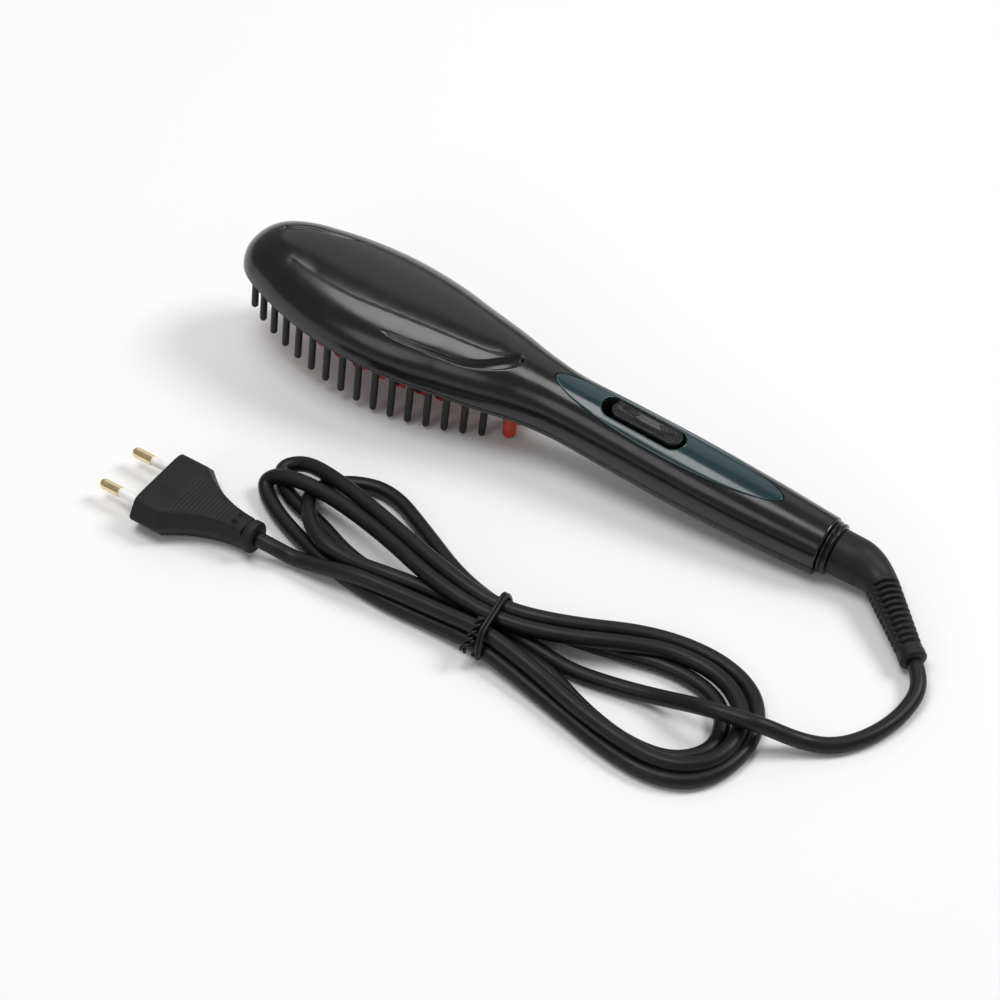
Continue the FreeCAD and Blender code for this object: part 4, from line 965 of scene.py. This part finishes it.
# Round collar at the cord: distance from the cord's end and radius
COLLAR_END = 4.0
COLLAR_RADIUS = 6.0
COLLAR_SIDES = 64
COLLAR_PROFILE = [
    (0.0, CORD_RADIUS), (0.0, 5.0), (0.25, 5.6), (0.7, 5.95), (1.3, COLLAR_RADIUS), (2.9, COLLAR_RADIUS),
    (3.5, 5.8), (3.9, 5.2), (4.4, 4.3), (4.6, 2.0),
]


def plug_point(along, across, up):
    """Place on the table, in metres, of a point of the plug."""
    out = plug_heading()
    side = Vector((-out.y, out.x, 0.0))
    return (Vector(PLUG_END) + out * along + side * across + Vector((0.0, 0.0, up))) * MM


def plug_outline(half, flat, thick):
    """Six-sided outline with rounded corners."""
    corners = [(half, 0.0), (flat, thick), (-flat, thick), (-half, 0.0), (-flat, -thick), (flat, -thick)]
    points = []
    for i, corner in enumerate(corners):
        before, after = corners[i - 1], corners[(i + 1) % len(corners)]
        start = [c + (b - c) * PLUG_CORNER for c, b in zip(corner, before)]
        end = [c + (a - c) * PLUG_CORNER for c, a in zip(corner, after)]
        for k in range(CORNER_STEPS + 1):
            t = k / CORNER_STEPS
            points.append([(1 - t) ** 2 * s + 2 * t * (1 - t) * c + t * t * e
                           for s, c, e in zip(start, corner, end)])
        following = [a + (c - a) * PLUG_CORNER for c, a in zip(corner, after)]
        count = FLAT_STEPS if abs(corner[1]) == thick and abs(after[1]) == thick else EDGE_STEPS
        for k in range(1, count):
            points.append([e + (f - e) * k / count for e, f in zip(end, following)])
    return points


def plug_size(along):
    """Half width, flat half width and half thickness of the plug's body at a distance from the cord."""
    share = min(max((PLUG_SHOULDER - along) / (PLUG_SHOULDER - COLLAR_END), 0.0), 1.0)
    half = PLUG_NECK + (PLUG_HALF_WIDTH - PLUG_NECK) * (1.0 - share) ** 2
    thick = PLUG_NECK + (PLUG_HALF_THICK - PLUG_NECK) * (1.0 - share)
    return half, half * PLUG_FLAT / PLUG_HALF_WIDTH, thick


def plug_relief(along, across, up, thick):
    """How far the flat faces of the plug are cut back: fine ridges, and two small windows near the cord."""
    level = smoothstep((abs(up) - FLAT_FROM * thick) / (FLAT_FADE * thick))
    zone = smoothstep((PLUG_SHOULDER - along) / RIDGES_FADE_OUT)
    zone *= smoothstep((along - RIDGES_START) / RIDGES_FADE_IN)
    ridge = RIDGE_DEPTH * zone * smoothstep(RIDGE_BIAS + math.cos(math.tau * along / RIDGE_PITCH))
    in_window = (WINDOW_ALONG[0] < along < WINDOW_ALONG[1]
                 and WINDOW_ACROSS[0] < abs(across) < WINDOW_ACROSS[1])
    return level * (ridge + (WINDOW_DEPTH if in_window else 0.0))


def add_plug(mat):
    """Plug body: six-sided, with a swept neck, fine ridges, two windows, and a round collar at the cord."""
    verts = []
    body_end = PLUG_FACE - FACE_ROUND
    rows = [(along, 0.0) for along in even_stations(COLLAR_END, body_end, PLUG_STEP) + [body_end]]
    rows += [(PLUG_FACE - before, inset) for before, inset in FACE_EDGE]
    for along, inset in rows:
        half, flat, thick = plug_size(along)
        inset = min(inset, MOST_INSET * thick)
        outline = plug_outline(half - inset, max(flat - FLAT_INSET * inset, LEAST_FLAT), thick - inset)
        for across, up in outline:
            cut = 0.0 if inset else plug_relief(along, across, up, thick)
            verts.append(plug_point(along, across, up - math.copysign(cut, up)))
    columns = len(plug_outline(*plug_size(PLUG_FACE)))
    faces = grid_faces(len(rows), columns, closed=True)
    faces.append(tuple(range((len(rows) - 1) * columns, len(rows) * columns)))
    first = len(verts)
    for along, radius in COLLAR_PROFILE:
        for k in range(COLLAR_SIDES):
            a = math.tau * k / COLLAR_SIDES
            verts.append(plug_point(along, radius * math.cos(a), radius * math.sin(a)))
    faces += grid_faces(len(COLLAR_PROFILE), COLLAR_SIDES, first, closed=True)
    piece = mesh_piece("plug_shell", verts, faces, mat)
    stand_in(piece, "brush", "cord_rubber", "plug_body")
    return piece


# Floor and soft light in metres and watts: name, place, size and power of each lamp
FLOOR_HALF = 4.0
FLOOR_COLOR = (0.9, 0.9, 0.9)
FLOOR_ROUGHNESS = 0.9
WORLD_STRENGTH = 0.3
LAMP_TARGET = Vector((0.0, -0.03, 0.0))
LAMPS = [
    ("box", (-0.26, -0.16, 1.5), 0.85, 10.0),
    ("far_card", (-0.8, 1.6, 1.3), 2.0, 6.0),
    ("key", (0.95, 0.95, 1.5), 0.8, 18.0),
    ("front_card", (-0.3, -1.6, 0.9), 0.8, 3.0),
]


def add_stage():
    """Plain pale floor."""
    mat = material("floor_white", FLOOR_COLOR, FLOOR_ROUGHNESS, Specular_IOR_Level=0.1)
    corners = [(x * FLOOR_HALF, y * FLOOR_HALF, 0) for x, y in ((-1, -1), (1, -1), (1, 1), (-1, 1))]
    floor = mesh_piece("floor", corners, [(0, 1, 2, 3)], mat, smooth=False)


def add_light(name, location, size, power):
    """Disc-shaped lamp that shines at the middle of the scene."""
    data = bpy.data.lights.new(name, "AREA")
    data.shape = "DISK"
    data.size = size
    data.energy = power
    lamp = bpy.data.objects.new(name, data)
    scene.collection.objects.link(lamp)
    lamp.location = location
    aim(lamp, LAMP_TARGET - Vector(location))


def add_lights():
    """A box overhead, a far card, a far lamp at the right, a low front card and a dim world."""
    world = bpy.data.worlds.new("studio")
    world.use_nodes = True
    scene.world = world
    backdrop = world.node_tree.nodes["Background"]
    backdrop.inputs["Color"].default_value = (1.0, 1.0, 1.0, 1.0)
    backdrop.inputs["Strength"].default_value = WORLD_STRENGTH
    for lamp in LAMPS:
        add_light(*lamp)


def dress_nodes():
    """Materials of the CAD nodes that stay: colour, roughness, and grain where it isn't the usual one."""
    dress(moulded("lower_black", (0.007, 0.007, 0.0075), 0.28, 0.15, **DARK), "lower_shell")
    dress(moulded("pin_black", (0.010, 0.0105, 0.011), 0.42, **DARK), "outer_pins", "pin_frame")
    dress(moulded("guard_black", (0.01, 0.01, 0.011), 0.5, **DARK), "guard_plate", "tact_switches")
    dress(moulded("tooth_coat", (0.012, 0.011, 0.011), 0.35, 0.4, 1500.0, **DARK), "heating_teeth")
    dress(moulded("guard_red", (0.52, 0.032, 0.012), 0.4, 0.2, Subsurface_Weight=0.15,
                  Subsurface_Radius=(0.002, 0.0004, 0.0002)),
          "tooth_caps", "neck_teeth")
    dress(metal("heater_metal", (0.72, 0.72, 0.74), 0.4), "heater_plate", "thermal_fuse")
    dress(moulded("heater_ceramic", (0.8, 0.78, 0.72), 0.6, 0.5, 900.0), "ptc_heaters", "temperature_sensor")
    dress(metal("spring_steel", (0.58, 0.58, 0.6), 0.3), "heater_clamp", "rocker_pivot_pin", "retaining_clip",
          "head_screws", "housing_screws", "board_screws")
    dress(moulded("mica", (0.6, 0.5, 0.34), 0.45, 0.6, 700.0, 0.3), "insulation_sheet")
    dress(moulded("wire_sleeve", (0.75, 0.74, 0.7), 0.5), "heater_leads", "sensor_wire", "mains_wires")
    dress(moulded("board_green", (0.03, 0.16, 0.07), 0.35, 0.4, 1200.0, 0.3), "control_board")
    dress(moulded("led_white", (0.85, 0.85, 0.8), 0.2, 0.1), "indicator_leds")
    dress(moulded("bush_white", (0.78, 0.78, 0.75), 0.45), "swivel_bush")
    dress(metal("pin_brass", (0.9, 0.74, 0.42), 0.15, (0.15, 1.0, 1.0)), "plug_pins")
    dress(moulded("sleeve_white", (0.86, 0.86, 0.84), 0.45), "pin_sleeves")


scene.view_settings.view_transform = "Standard"
add_camera()
add_stage()
add_lights()
dress_nodes()
add_casing(moulded("casing_gloss", (0.006, 0.006, 0.0064), 0.2, 0.12, 900.0))
add_lens(moulded("lens_teal", (0.005, 0.026, 0.031), 0.19, 0.05, 900.0, Coat_Weight=0.2))
add_rocker(moulded("rocker_black", (0.008, 0.008, 0.0085), 0.26, 0.2, **DARK))
add_ring(moulded("ring_satin", (0.008, 0.008, 0.0085), 0.25, 0.15, **DARK))
add_boot(moulded("rubber_black", (0.008, 0.008, 0.0084), 0.5, 0.35, **DARK))
plug = add_plug(moulded("plug_rubber", (0.010, 0.010, 0.0104), 0.58, 0.4, 2000.0, **DARK))
tie = add_tie(moulded("tie_black", (0.01, 0.01, 0.0105), 0.4, **DARK))
add_cord(moulded("cord_pvc", (0.007, 0.007, 0.0074), 0.42, **DARK))
